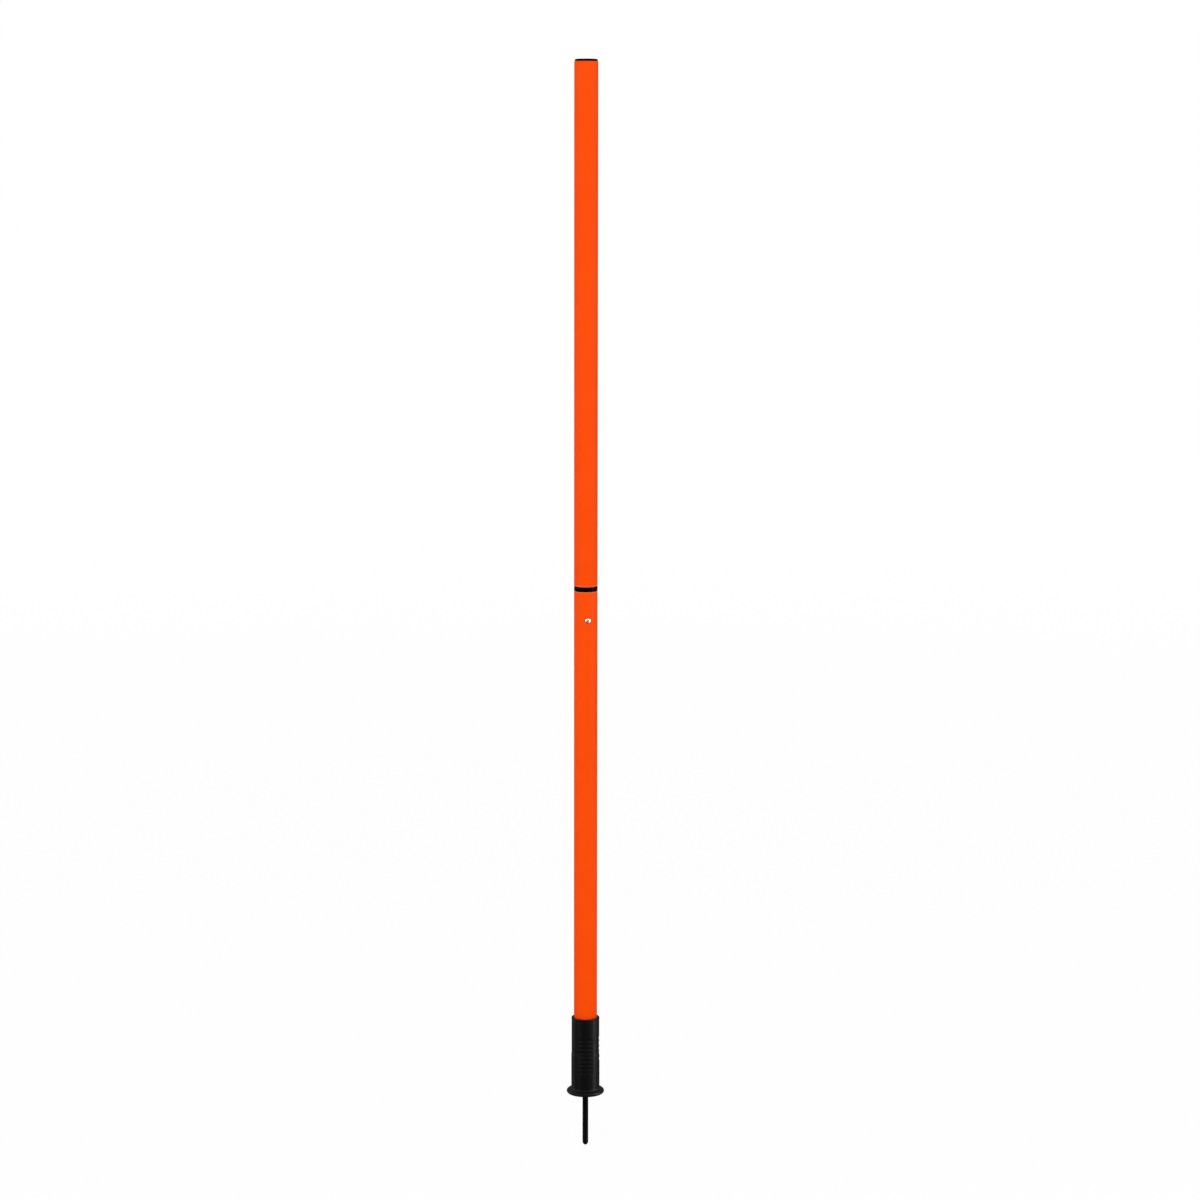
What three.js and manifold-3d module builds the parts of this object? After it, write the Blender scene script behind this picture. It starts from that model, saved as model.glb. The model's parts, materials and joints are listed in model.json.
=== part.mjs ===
// Slalom pole for training, on a sprung base with a ground spike.
// Millimetres, +Z up. The origin is at ground level on the pole's axis: the flange of the rubber
// boot rests on the ground there, the spike goes down and the two pole sections go up.
// The front of the pole faces -Y.

import * as THREE from "three";
import { mergeVertices } from "three/addons/utils/BufferGeometryUtils.js";
import Module from "manifold-3d";

const wasm = await Module();
wasm.setup();

// Heights above the ground
const poleHeight = 1420;
const jointHeight = 707.4;
const bootHeight = 109;
const tubeEndHeight = 84;
const spikeReach = 76;

// Fits
const seatGap = 0.3;
const cutOverrun = 2;
const mergeTolerance = 0.0001;

// Tubes
const tubeDiameter = 32;
const tubeWall = 2;
const tubeEdgeBevel = 0.5;

// Cap on the upper end
const capHeadDiameter = 30.8;
const capHeadHeight = 3;
const capEdgeRound = 1.3;
const capCrown = 0.4;
const capSkirtLength = 18;
const capSkirtWall = 1.8;
const capBarbCount = 2;
const capBarbRise = 0.4;
const capBarbHeight = 1.6;
const capBarbPitch = 5;

// Coupler between the two tubes
const collarHeight = 6.2;
const collarBevel = 0.3;
const spigotUpperLength = 60;
const spigotLowerLength = 90;
const spigotWall = 3;
const spigotLead = 1.6;
const glueGrooveCount = 2;
const glueGrooveDepth = 0.6;
const glueGrooveWidth = 4;
const glueGroovePitch = 20;

// Snap button and the strip spring that carries it
const buttonDiameter = 7.4;
const buttonDrop = 38.8;
const buttonTurn = 9;
const buttonStand = 3;
const buttonStraight = 0.7;
const rivetTailDiameter = 3.2;
const rivetHeadDiameter = 5.4;
const rivetHeadHeight = 0.9;
const stripThickness = 0.8;
const stripWidth = 7;
const stripTailLength = 9;
const stripLegLength = 22;
const stripSlopeHeight = 12;
const stripBendRadius = 4;

// Base spring and the seats that hold its ends
const springDiameter = 28;
const springWire = 4.4;
const springCoilGap = 0.8;
const seatCollarHeight = 3;
const seatCollarDiameter = 31;
const seatNoseLength = 8;
const seatNoseLead = 1;
const plugLength = 30;
const plugBoreDiameter = 10;

// Screws through the lower tube into the upper seat
const screwCount = 2;
const firstScrewTurn = 90;
const screwRise = 13;
const screwShankDiameter = 3.2;
const screwHeadDiameter = 6;
const screwHeadDepth = 1.4;
const screwHeadSink = 0.4;
const screwLength = 8.6;
const screwPointLength = 1.6;

// Ground spike with its shoulder, and the parts that hold it
const spikeDiameter = 8;
const spikePointLength = 5;
const spikeEndBevel = 0.8;
const shoulderDiameter = 22;
const shoulderHeight = 3;
const basePlateHeight = 2.4;
const flatWasherDiameter = 16;
const flatWasherHeight = 1.6;
const lockWasherDiameter = 13.6;
const lockWasherHeight = 2;
const lockWasherSlot = 1;
const lockWasherSlotTilt = 25;
const nutAcrossFlats = 13;
const nutHeight = 6.5;
const nutCornerBevel = 0.9;
const threadEndRise = 2;

// Rubber boot
const bootUpperDiameter = 38.4;
const bootLowerDiameter = 39.2;
const bootFloorHeight = 8;
const bootStepHeight = 57;
const mouthBeadDiameter = 38.8;
const mouthBeadHeight = 3;
const mouthRound = 1.4;
const mouthFlare = 0.9;
const mouthFlareHeight = 1.8;
const flangeDiameter = 52;
const flangeHeight = 5.4;
const flangeCrown = 0.9;
const flangeFillet = 2.6;

// Grip panels round the boot, at these turns from the front: two with fine ribs, one with coarse
// ribs, and the fourth left smooth
const fineTurns = [1, 181];
const fineGrooveCount = 9;
const fineGroovePitch = 5.75;
const coarseTurns = [91];
const coarseGrooveCount = 5;
const coarseGroovePitch = 7.4;
const grooveDepth = 0.5;
const grooveTopHeight = 82;
const panelSpan = 66;
const panelFade = 9;
const rowsPerGroove = 4;

// Facets
const roundSides = 40;
const innerSides = 32;
const smallSides = 24;
const wireSides = 6;
const stepsPerTurn = 12;
const arcSteps = 3;
const flangeSteps = 4;
const domeSteps = 5;
const hexSides = 6;

// Finishes
const orangePlastic = { color: 0xff5312, roughness: 0.42, metalness: 0 };
const blackPlastic = { color: 0x151515, roughness: 0.48, metalness: 0 };
const darkNylon = { color: 0x1d1d1f, roughness: 0.55, metalness: 0 };
const blackRubber = { color: 0x1a1a1a, roughness: 0.8, metalness: 0 };
const blackedSteel = { color: 0x17181a, roughness: 0.45, metalness: 0.4 };
const brightSteel = { color: 0xd4d6d8, roughness: 0.2, metalness: 1 };
const platedSteel = { color: 0xb9bcc0, roughness: 0.3, metalness: 1 };
const springSteel = { color: 0x9a9da2, roughness: 0.35, metalness: 1 };

// Sizes that follow
const degree = Math.PI / 180;
const halfTurn = 180;
const fullTurn = 360;
const tubeRadius = tubeDiameter / 2;
const tubeBoreRadius = tubeRadius - tubeWall;
const plugRadius = tubeBoreRadius - seatGap;
const collarTop = jointHeight + collarHeight;
const lowerTubeTop = jointHeight - seatGap;
const upperTubeBottom = collarTop + seatGap;
const capUnderside = poleHeight - capHeadHeight;
const upperTubeTop = capUnderside - seatGap;
const spigotBoreRadius = plugRadius - spigotWall;
const buttonHeight = lowerTubeTop - buttonDrop;
const buttonRadius = buttonDiameter / 2;
const rivetTailRadius = rivetTailDiameter / 2;
const stripEdgeRadius = spigotBoreRadius - seatGap;
const stripOuterFace = Math.sqrt(stripEdgeRadius ** 2 - (stripWidth / 2) ** 2);
const stripInnerFace = stripOuterFace - stripThickness;
const spikeRadius = spikeDiameter / 2;
const spikeHoleRadius = spikeRadius + seatGap;
const bootBoreRadius = tubeRadius + seatGap;
const basePlateBottom = bootFloorHeight + seatGap;
const basePlateTop = basePlateBottom + basePlateHeight;
const lowerSeatBottom = basePlateTop + seatGap;
const lowerSeatTop = lowerSeatBottom + seatCollarHeight;
const lowerNoseTop = lowerSeatTop + seatNoseLength;
const flatWasherBottom = lowerNoseTop + seatGap;
const lockWasherBottom = flatWasherBottom + flatWasherHeight + seatGap;
const nutBottom = lockWasherBottom + lockWasherHeight + seatGap;
const spikeTop = nutBottom + nutHeight + threadEndRise;
const upperSeatTop = tubeEndHeight - seatGap;
const upperSeatBottom = upperSeatTop - seatCollarHeight;
const noseRadius = springDiameter / 2 - springWire - seatGap;
const plugBoreRadius = plugBoreDiameter / 2;
const screwHeight = tubeEndHeight + screwRise;

// Helpers

// A body turned about the Z axis. The profile is a list of [radius, height] points that runs
// counterclockwise, from axis to axis or round a closed loop.
function turned(profile, sides = roundSides) {
  const points = profile.map(([radius, height]) => new THREE.Vector2(radius, height));
  const first = points[0];
  const last = points[points.length - 1];
  if (first.x !== 0 || last.x !== 0) points.push(first.clone());
  const geometry = new THREE.LatheGeometry(points, sides);
  geometry.rotateX(Math.PI / 2);
  return geometry;
}

// Points on an arc in a turned profile, or on an ellipse where the rise differs from the radius.
function arc(centreRadius, centreHeight, radius, fromTurn, toTurn, steps, rise = radius) {
  const points = [];
  for (let step = 0; step <= steps; step += 1) {
    const turn = (fromTurn + ((toTurn - fromTurn) * step) / steps) * degree;
    points.push([centreRadius + radius * Math.cos(turn), centreHeight + rise * Math.sin(turn)]);
  }
  return points;
}

function toSolid(geometry) {
  const bare = geometry.clone();
  bare.deleteAttribute("normal");
  bare.deleteAttribute("uv");
  const merged = mergeVertices(bare, mergeTolerance);
  const index = Array.from(merged.index.array);
  const kept = [];
  for (let corner = 0; corner < index.length; corner += 3) {
    const [a, b, c] = index.slice(corner, corner + 3);
    if (a !== b && b !== c && c !== a) kept.push(a, b, c);
  }
  const vertProperties = new Float32Array(merged.attributes.position.array);
  const triVerts = new Uint32Array(kept);
  return new wasm.Manifold(new wasm.Mesh({ numProp: 3, vertProperties, triVerts }));
}

function toGeometry(solid) {
  const mesh = solid.getMesh();
  const geometry = new THREE.BufferGeometry();
  geometry.setAttribute("position", new THREE.BufferAttribute(mesh.vertProperties, 3));
  geometry.setIndex(new THREE.BufferAttribute(mesh.triVerts, 1));
  return geometry;
}

// Takes the cutters out of a body, all given as geometries.
function cut(geometry, cutters) {
  let solid = toSolid(geometry);
  for (const cutter of cutters) {
    solid = solid.subtract(toSolid(cutter));
  }
  return toGeometry(solid);
}

// Moves a geometry that was turned about Z, so that its axis points out of the pole at a height
// above the ground and a turn to the right of the front.
function aimedOut(geometry, height, turn) {
  const aimed = geometry.clone();
  aimed.rotateX(Math.PI / 2);
  aimed.rotateZ(turn * degree);
  aimed.translate(0, 0, height);
  return aimed;
}

// A round cutter along the Z axis.
function drill(radius, bottom, top, sides = smallSides) {
  return turned([[0, bottom], [radius, bottom], [radius, top], [0, top]], sides);
}

function ring(innerRadius, outerRadius, bottom, height) {
  const top = bottom + height;
  const profile = [
    [innerRadius, bottom],
    [outerRadius, bottom],
    [outerRadius, top],
    [innerRadius, top],
  ];
  return turned(profile, innerSides);
}

const group = new THREE.Group();

function add(name, geometry, finish) {
  const mesh = new THREE.Mesh(geometry, new THREE.MeshStandardMaterial(finish));
  mesh.name = name;
  group.add(mesh);
}

// Tubes, with bevelled ends

function tube(bottom, top) {
  return turned([
    [tubeBoreRadius, bottom],
    [tubeRadius - tubeEdgeBevel, bottom],
    [tubeRadius, bottom + tubeEdgeBevel],
    [tubeRadius, top - tubeEdgeBevel],
    [tubeRadius - tubeEdgeBevel, top],
    [tubeBoreRadius, top],
  ]);
}

const buttonHoleRadius = buttonRadius + seatGap;

function buttonHole() {
  const hole = drill(buttonHoleRadius, 0, tubeRadius + cutOverrun);
  return aimedOut(hole, buttonHeight, buttonTurn);
}

add("upper_tube", tube(upperTubeBottom, upperTubeTop), orangePlastic);

// Countersunk screw along +Z, from its point to its head. The clearance widens it into its hole.
function screwProfile(clearance) {
  const headFace = tubeRadius - screwHeadSink;
  const neck = headFace - screwHeadDepth;
  const point = headFace - screwLength;
  const shankRadius = screwShankDiameter / 2 + clearance;
  const headRadius = screwHeadDiameter / 2 + clearance;
  return [
    [0, point - clearance],
    [shankRadius, point + screwPointLength],
    [shankRadius, neck],
    [headRadius, headFace],
    [headRadius, headFace + (clearance > 0 ? cutOverrun : 0)],
    [0, headFace + (clearance > 0 ? cutOverrun : 0)],
  ];
}

const screwTurns = Array.from({ length: screwCount }, (_, copy) => {
  return firstScrewTurn + (fullTurn * copy) / screwCount;
});

function screwHoles() {
  return screwTurns.map((turn) => {
    return aimedOut(turned(screwProfile(seatGap), smallSides), screwHeight, turn);
  });
}

const lowerTube = cut(tube(tubeEndHeight, lowerTubeTop), [buttonHole(), ...screwHoles()]);
add("lower_tube", lowerTube, orangePlastic);

// Cap: a crowned head on a hollow skirt, which barbed rings hold in the tube

function capProfile() {
  const headRadius = capHeadDiameter / 2;
  const skirtRadius = plugRadius - capBarbRise;
  const skirtBottom = capUnderside - capSkirtLength;
  const edgeTop = poleHeight - capCrown;
  const points = [
    [0, capUnderside],
    [skirtRadius - capSkirtWall, capUnderside],
    [skirtRadius - capSkirtWall, skirtBottom],
    [skirtRadius, skirtBottom],
  ];
  for (let barb = 0; barb < capBarbCount; barb += 1) {
    const barbTop = skirtBottom + capBarbPitch * (barb + 1);
    points.push([skirtRadius, barbTop - capBarbHeight]);
    points.push([plugRadius, barbTop]);
    points.push([skirtRadius, barbTop]);
  }
  points.push([skirtRadius, capUnderside]);
  points.push([headRadius, capUnderside]);
  const edge = [headRadius - capEdgeRound, edgeTop - capEdgeRound];
  points.push(...arc(edge[0], edge[1], capEdgeRound, 0, 90, arcSteps));
  points.push([0, poleHeight]);
  return points;
}

add("top_cap", turned(capProfile()), blackPlastic);

// Coupler: one moulding with a flush collar, a glued spigot above and a plug-in spigot below

function couplerProfile() {
  const bottom = jointHeight - spigotLowerLength;
  const top = collarTop + spigotUpperLength;
  const points = [
    [spigotBoreRadius, bottom],
    [plugRadius - spigotLead, bottom],
    [plugRadius, bottom + spigotLead],
    [plugRadius, jointHeight],
    [tubeRadius - collarBevel, jointHeight],
    [tubeRadius, jointHeight + collarBevel],
    [tubeRadius, collarTop - collarBevel],
    [tubeRadius - collarBevel, collarTop],
    [plugRadius, collarTop],
  ];
  for (let groove = 1; groove <= glueGrooveCount; groove += 1) {
    const middle = collarTop + glueGroovePitch * groove;
    const half = glueGrooveWidth / 2;
    points.push([plugRadius, middle - half]);
    points.push([plugRadius - glueGrooveDepth, middle - half + glueGrooveDepth]);
    points.push([plugRadius - glueGrooveDepth, middle + half - glueGrooveDepth]);
    points.push([plugRadius, middle + half]);
  }
  points.push([plugRadius, top - spigotLead]);
  points.push([plugRadius - spigotLead, top]);
  points.push([spigotBoreRadius, top]);
  return points;
}

const coupler = cut(turned(couplerProfile()), [buttonHole()]);
add("joint_coupler", coupler, blackPlastic);

// Snap button: a domed pin riveted to the strip spring inside the coupler. Its axis points out of
// the pole, and its profile starts at the rivet head.

function buttonProfile() {
  const domeBase = tubeRadius + buttonStraight;
  const headTop = stripInnerFace - seatGap;
  const points = [
    [0, headTop - rivetHeadHeight],
    [rivetHeadDiameter / 2, headTop - rivetHeadHeight],
    [rivetHeadDiameter / 2, headTop],
    [rivetTailRadius, headTop],
    [rivetTailRadius, stripOuterFace + seatGap],
    [buttonRadius, stripOuterFace + seatGap],
  ];
  points.push(...arc(0, domeBase, buttonRadius, 0, 90, domeSteps, buttonStand - buttonStraight));
  points[points.length - 1][0] = 0;
  return points;
}

const button = aimedOut(turned(buttonProfile(), smallSides), buttonHeight, buttonTurn);
add("snap_button", button, brightSteel);

// Strip spring: a steel strip bent to a V. One leg carries the button and the other bears on the
// far wall of the coupler's bore.

function stripCentreline() {
  const face = (stripOuterFace + stripInnerFace) / 2;
  const tail = buttonHeight - stripTailLength;
  const knee = tail + stripLegLength;
  const bend = knee + stripSlopeHeight;
  return [
    [face, tail],
    [face, knee],
    ...arc(0, bend, stripBendRadius, 0, 180, domeSteps * 2),
    [-face, knee],
    [-face, tail],
  ];
}

// Widens a bent line to a closed outline of the strip's thickness.
function stripOutline(line) {
  const left = [];
  const right = [];
  line.forEach(([x, y], place) => {
    const before = line[Math.max(place - 1, 0)];
    const after = line[Math.min(place + 1, line.length - 1)];
    const into = new THREE.Vector2(x - before[0], y - before[1]).normalize();
    const away = new THREE.Vector2(after[0] - x, after[1] - y).normalize();
    const along = into.clone().add(away).normalize();
    const reach = stripThickness / 2 / Math.max(along.dot(into), along.dot(away));
    left.push(new THREE.Vector2(x - along.y * reach, y + along.x * reach));
    right.push(new THREE.Vector2(x + along.y * reach, y - along.x * reach));
  });
  return new THREE.Shape([...right, ...left.reverse()]);
}

function stripSpring() {
  const shape = stripOutline(stripCentreline());
  const strip = new THREE.ExtrudeGeometry(shape, { depth: stripWidth, bevelEnabled: false });
  strip.translate(0, 0, -stripWidth / 2);
  const outward = new THREE.Vector3(0, -1, 0);
  const upward = new THREE.Vector3(0, 0, 1);
  const across = new THREE.Vector3(-1, 0, 0);
  strip.applyMatrix4(new THREE.Matrix4().makeBasis(outward, upward, across));
  strip.rotateZ(buttonTurn * degree);
  const tailHole = drill(rivetTailRadius + seatGap, 0, stripOuterFace + cutOverrun);
  return cut(strip, [aimedOut(tailHole, buttonHeight, buttonTurn)]);
}

add("button_spring", stripSpring(), springSteel);

// Upper spring seat: a plug in the lower tube's end, with a collar under the tube's edge and a
// nose that the spring winds onto

function upperSeat() {
  const noseBottom = upperSeatBottom - seatNoseLength;
  const top = tubeEndHeight + plugLength;
  const profile = [
    [plugBoreRadius, noseBottom],
    [noseRadius - seatNoseLead, noseBottom],
    [noseRadius, noseBottom + seatNoseLead],
    [noseRadius, upperSeatBottom],
    [tubeRadius, upperSeatBottom],
    [tubeRadius, upperSeatTop],
    [plugRadius, upperSeatTop],
    [plugRadius, top - seatNoseLead],
    [plugRadius - seatNoseLead, top],
    [plugBoreRadius, top],
  ];
  return cut(turned(profile, innerSides), screwHoles());
}

add("upper_spring_seat", upperSeat(), darkNylon);

screwTurns.forEach((turn, copy) => {
  const screw = aimedOut(turned(screwProfile(0), smallSides), screwHeight, turn);
  add(`seat_screw_${copy + 1}`, screw, platedSteel);
});

// Coil spring: one wire wound from the lower seat to the upper one

class Coil extends THREE.Curve {
  constructor(radius, bottom, top, turns) {
    super();
    Object.assign(this, { radius, bottom, top, turns });
  }

  getPoint(share, target = new THREE.Vector3()) {
    const turn = share * this.turns * 2 * Math.PI;
    const height = this.bottom + (this.top - this.bottom) * share;
    return target.set(this.radius * Math.cos(turn), this.radius * Math.sin(turn), height);
  }
}

function coilSpring() {
  const wireRadius = springWire / 2;
  const bottom = lowerSeatTop + seatGap + wireRadius;
  const top = upperSeatBottom - seatGap - wireRadius;
  const turns = (top - bottom) / (springWire + springCoilGap);
  const coil = new Coil(springDiameter / 2 - wireRadius, bottom, top, turns);
  const steps = Math.round(turns * stepsPerTurn);
  const section = new THREE.Shape();
  section.absarc(0, 0, wireRadius, 0, 2 * Math.PI);
  const pointsPerSegment = 2;
  const wire = new THREE.ExtrudeGeometry(section, {
    steps,
    extrudePath: coil,
    curveSegments: wireSides / pointsPerSegment,
  });
  console.log(`coil spring: least gap between turns ${leastGap(coil, turns, steps).toFixed(2)} mm`);
  return wire;
}

// The least gap between stretches of the wire that lie half a turn or more apart.
function leastGap(coil, turns, steps) {
  const points = coil.getPoints(steps);
  const halfTurn = Math.round(steps / turns / 2);
  let least = Infinity;
  for (let one = 0; one < points.length; one += 1) {
    for (let other = one + halfTurn; other < points.length; other += 1) {
      least = Math.min(least, points[one].distanceTo(points[other]) - springWire);
    }
  }
  return least;
}

add("coil_spring", coilSpring(), springSteel);

// Lower spring seat, on a steel plate on the boot's floor

function lowerSeat() {
  const profile = [
    [spikeHoleRadius, lowerSeatBottom],
    [seatCollarDiameter / 2, lowerSeatBottom],
    [seatCollarDiameter / 2, lowerSeatTop],
    [noseRadius, lowerSeatTop],
    [noseRadius, lowerNoseTop - seatNoseLead],
    [noseRadius - seatNoseLead, lowerNoseTop],
    [spikeHoleRadius, lowerNoseTop],
  ];
  return turned(profile, innerSides);
}

add("lower_spring_seat", lowerSeat(), darkNylon);

const basePlate = ring(spikeHoleRadius, bootBoreRadius - seatGap, basePlateBottom, basePlateHeight);
add("base_plate", basePlate, platedSteel);

// Ground spike: a rod with a rounded point below and a shoulder that lies flush in the boot's
// underside

function spikeProfile() {
  const shoulderRadius = shoulderDiameter / 2;
  const pointTop = spikePointLength - spikeReach;
  const points = arc(0, pointTop, spikeRadius, -90, 0, arcSteps, spikePointLength);
  points[0][0] = 0;
  points.push([spikeRadius, 0]);
  points.push([shoulderRadius, 0]);
  points.push([shoulderRadius, shoulderHeight]);
  points.push([spikeRadius, shoulderHeight]);
  points.push([spikeRadius, spikeTop - spikeEndBevel]);
  points.push([spikeRadius - spikeEndBevel, spikeTop]);
  points.push([0, spikeTop]);
  return points;
}

add("ground_spike", turned(spikeProfile(), innerSides), blackedSteel);

const flatWasher = ring(
  spikeHoleRadius,
  flatWasherDiameter / 2,
  flatWasherBottom,
  flatWasherHeight,
);
add("flat_washer", flatWasher, platedSteel);

function lockWasher() {
  const radius = lockWasherDiameter / 2;
  const washer = ring(spikeHoleRadius, radius, lockWasherBottom, lockWasherHeight);
  const slotHeight = lockWasherHeight + cutOverrun * 2;
  const slot = new THREE.BoxGeometry(lockWasherSlot, radius + cutOverrun, slotHeight);
  slot.rotateY(lockWasherSlotTilt * degree);
  slot.translate(0, (radius + cutOverrun) / 2, lockWasherBottom + lockWasherHeight / 2);
  return cut(washer, [slot]);
}

add("lock_washer", lockWasher(), springSteel);

// Hexagon nut with bevelled corners

function nut() {
  const flatRadius = nutAcrossFlats / 2;
  const cornerRadius = flatRadius / Math.cos(Math.PI / hexSides);
  const top = nutBottom + nutHeight;
  const block = new THREE.CylinderGeometry(cornerRadius, cornerRadius, nutHeight, hexSides);
  block.rotateX(Math.PI / 2);
  block.translate(0, 0, nutBottom + nutHeight / 2);
  const rounding = [
    [0, nutBottom],
    [cornerRadius - nutCornerBevel, nutBottom],
    [cornerRadius, nutBottom + nutCornerBevel],
    [cornerRadius, top - nutCornerBevel],
    [cornerRadius - nutCornerBevel, top],
    [0, top],
  ];
  const bevelled = toSolid(block).intersect(toSolid(turned(rounding, smallSides)));
  const bore = drill(spikeHoleRadius, nutBottom - cutOverrun, top + cutOverrun);
  return toGeometry(bevelled.subtract(toSolid(bore)));
}

add("spike_nut", nut(), platedSteel);

// Rubber boot: one moulding with a flange, a sleeve over the spring and the tube's end, and grip
// panels of ribs pressed into the sleeve

const grooveBottomHeight = grooveTopHeight - fineGroovePitch * fineGrooveCount;

function bootProfile() {
  const upperRadius = bootUpperDiameter / 2;
  const lowerRadius = bootLowerDiameter / 2;
  const beadRadius = mouthBeadDiameter / 2;
  const beadBottom = bootHeight - mouthBeadHeight;
  const flangeRadius = flangeDiameter / 2;
  const edgeRadius = flangeHeight / 2;
  const recessRadius = shoulderDiameter / 2 + seatGap;
  const recessTop = shoulderHeight + seatGap;
  const flangeTop = flangeHeight + flangeCrown;
  const filletRadius = lowerRadius + flangeFillet;
  const filletHeight = flangeTop + flangeFillet;
  const points = [
    [spikeHoleRadius, recessTop],
    [recessRadius, recessTop],
    [recessRadius, 0],
    ...arc(flangeRadius - edgeRadius, edgeRadius, edgeRadius, -90, 90, flangeSteps),
    ...arc(filletRadius, filletHeight, flangeFillet, 270, 180, arcSteps),
  ];
  const rowHeight = fineGroovePitch / rowsPerGroove;
  const rows = fineGrooveCount * rowsPerGroove;
  for (let row = 0; row <= rows; row += 1) {
    const height = grooveBottomHeight + rowHeight * row;
    points.push([height < bootStepHeight ? lowerRadius : upperRadius, height]);
  }
  points.push([upperRadius, beadBottom - mouthRound]);
  points.push([beadRadius, beadBottom]);
  points.push(...arc(beadRadius - mouthRound, bootHeight - mouthRound, mouthRound, 0, 90, arcSteps));
  points.push([bootBoreRadius + mouthFlare, bootHeight]);
  points.push([bootBoreRadius, bootHeight - mouthFlareHeight]);
  points.push([bootBoreRadius, bootFloorHeight]);
  points.push([spikeHoleRadius, bootFloorHeight]);
  return points;
}

// How deep the grooves of one kind of panel are at a point of the sleeve, as a share of full depth.
function grooveShare(turn, height, panelTurns, count, pitch) {
  const below = grooveTopHeight - height;
  if (below < 0 || below > pitch * count) return 0;
  const wave = (1 - Math.cos((2 * Math.PI * below) / pitch)) / 2;
  const inPanel = panelTurns.map((panelTurn) => {
    const past = THREE.MathUtils.euclideanModulo(turn - panelTurn + halfTurn, fullTurn);
    const away = Math.abs(past - halfTurn);
    return THREE.MathUtils.clamp((panelSpan / 2 - away) / panelFade, 0, 1);
  });
  return wave * Math.max(...inPanel);
}

function boot() {
  const geometry = turned(bootProfile());
  const position = geometry.attributes.position;
  for (let vertex = 0; vertex < position.count; vertex += 1) {
    const x = position.getX(vertex);
    const y = position.getY(vertex);
    const height = position.getZ(vertex);
    const radius = Math.hypot(x, y);
    if (radius > bootUpperDiameter / 2 - grooveDepth) {
      const turn = Math.atan2(x, -y) / degree;
      const fine = grooveShare(turn, height, fineTurns, fineGrooveCount, fineGroovePitch);
      const coarse = grooveShare(turn, height, coarseTurns, coarseGrooveCount, coarseGroovePitch);
      const pressed = 1 - (grooveDepth * Math.max(fine, coarse)) / radius;
      position.setXY(vertex, x * pressed, y * pressed);
    }
  }
  return geometry;
}

add("rubber_boot", boot(), blackRubber);

export default group;
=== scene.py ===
"""Slalom pole on a sprung base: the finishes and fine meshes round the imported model."""

import json
import math

import bmesh
import bpy
from bpy.props import FloatProperty, FloatVectorProperty, IntProperty, PointerProperty
from mathutils import Matrix, Vector


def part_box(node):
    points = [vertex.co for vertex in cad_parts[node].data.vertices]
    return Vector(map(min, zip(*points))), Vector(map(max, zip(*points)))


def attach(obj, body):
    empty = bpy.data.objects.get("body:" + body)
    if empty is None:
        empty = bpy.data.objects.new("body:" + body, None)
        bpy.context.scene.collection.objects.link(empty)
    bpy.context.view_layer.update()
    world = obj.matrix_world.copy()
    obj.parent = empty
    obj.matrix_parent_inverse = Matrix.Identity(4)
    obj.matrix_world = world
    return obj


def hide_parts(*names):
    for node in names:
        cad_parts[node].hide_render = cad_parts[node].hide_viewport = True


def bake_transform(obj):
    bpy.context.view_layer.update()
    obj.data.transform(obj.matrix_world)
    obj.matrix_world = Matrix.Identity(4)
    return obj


bl_info = {
    "name": "Slalom Pole",
    "version": (1, 0, 0),
    "blender": (4, 5, 0),
    "location": "3D View > Sidebar > Slalom Pole",
    "description": "Builds a two-section slalom pole with its snap button and sprung base",
    "category": "Add Mesh",
}

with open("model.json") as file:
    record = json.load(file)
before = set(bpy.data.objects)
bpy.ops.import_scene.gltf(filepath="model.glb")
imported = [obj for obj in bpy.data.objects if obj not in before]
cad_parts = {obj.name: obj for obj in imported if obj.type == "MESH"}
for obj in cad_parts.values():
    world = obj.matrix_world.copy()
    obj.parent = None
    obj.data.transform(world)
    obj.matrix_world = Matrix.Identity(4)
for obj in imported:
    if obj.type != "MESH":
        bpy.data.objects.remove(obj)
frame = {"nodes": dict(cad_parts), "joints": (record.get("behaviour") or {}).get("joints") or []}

MM = 0.001
FULL_TURN = 2 * math.pi


def node_radius(node):
    """Half the width of a node across X."""
    low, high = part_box(node)
    return (high.x - low.x) / 2


def node_span(node):
    """The lowest and highest point of a node."""
    low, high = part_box(node)
    return low.z, high.z


def joint_height(name):
    """The height of a hinge's axis."""
    joint = next(row for row in frame["joints"] if row["name"] == name)
    return joint["pos_m"][2]


TUBE_RADIUS = node_radius("upper_tube")
LOWER_TUBE_BOTTOM, LOWER_TUBE_TOP = node_span("lower_tube")
UPPER_TUBE_BOTTOM, UPPER_TUBE_TOP = node_span("upper_tube")
SPRING_BOTTOM, SPRING_TOP = node_span("coil_spring")
SPRING_MIDDLE = (joint_height("sway_sideways") + joint_height("sway_forward")) / 2
HOLE_GAP = 0.3 * MM
COLLAR_HEIGHT = UPPER_TUBE_BOTTOM - LOWER_TUBE_TOP - 2 * HOLE_GAP
BUTTON_HEIGHT = sum(node_span("snap_button")) / 2


def button_turn():
    """The snap button's turn to the right of the front, from the axis of its joint."""
    joint = next(row for row in frame["joints"] if row["name"] == "button_press")
    return math.atan2(-joint["axis"][0], joint["axis"][1])


def length_property(name, description, value):
    """A length in metres."""
    return FloatProperty(
        name=name, description=description, default=value, unit="LENGTH", precision=5
    )


def angle_property(name, description, degrees):
    """An angle, given in degrees."""
    return FloatProperty(
        name=name, description=description, default=math.radians(degrees), subtype="ANGLE"
    )


def strength_property(name, description, value):
    """A lamp's power in watts, or the world's strength."""
    return FloatProperty(name=name, description=description, default=value, min=0)


def share_property(name, description, value):
    """A share from 0 to 1."""
    return FloatProperty(
        name=name, description=description, default=value, min=0, max=1, subtype="FACTOR"
    )


def count_property(name, description, value, low=1):
    """A whole number."""
    return IntProperty(name=name, description=description, default=value, min=low)


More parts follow.
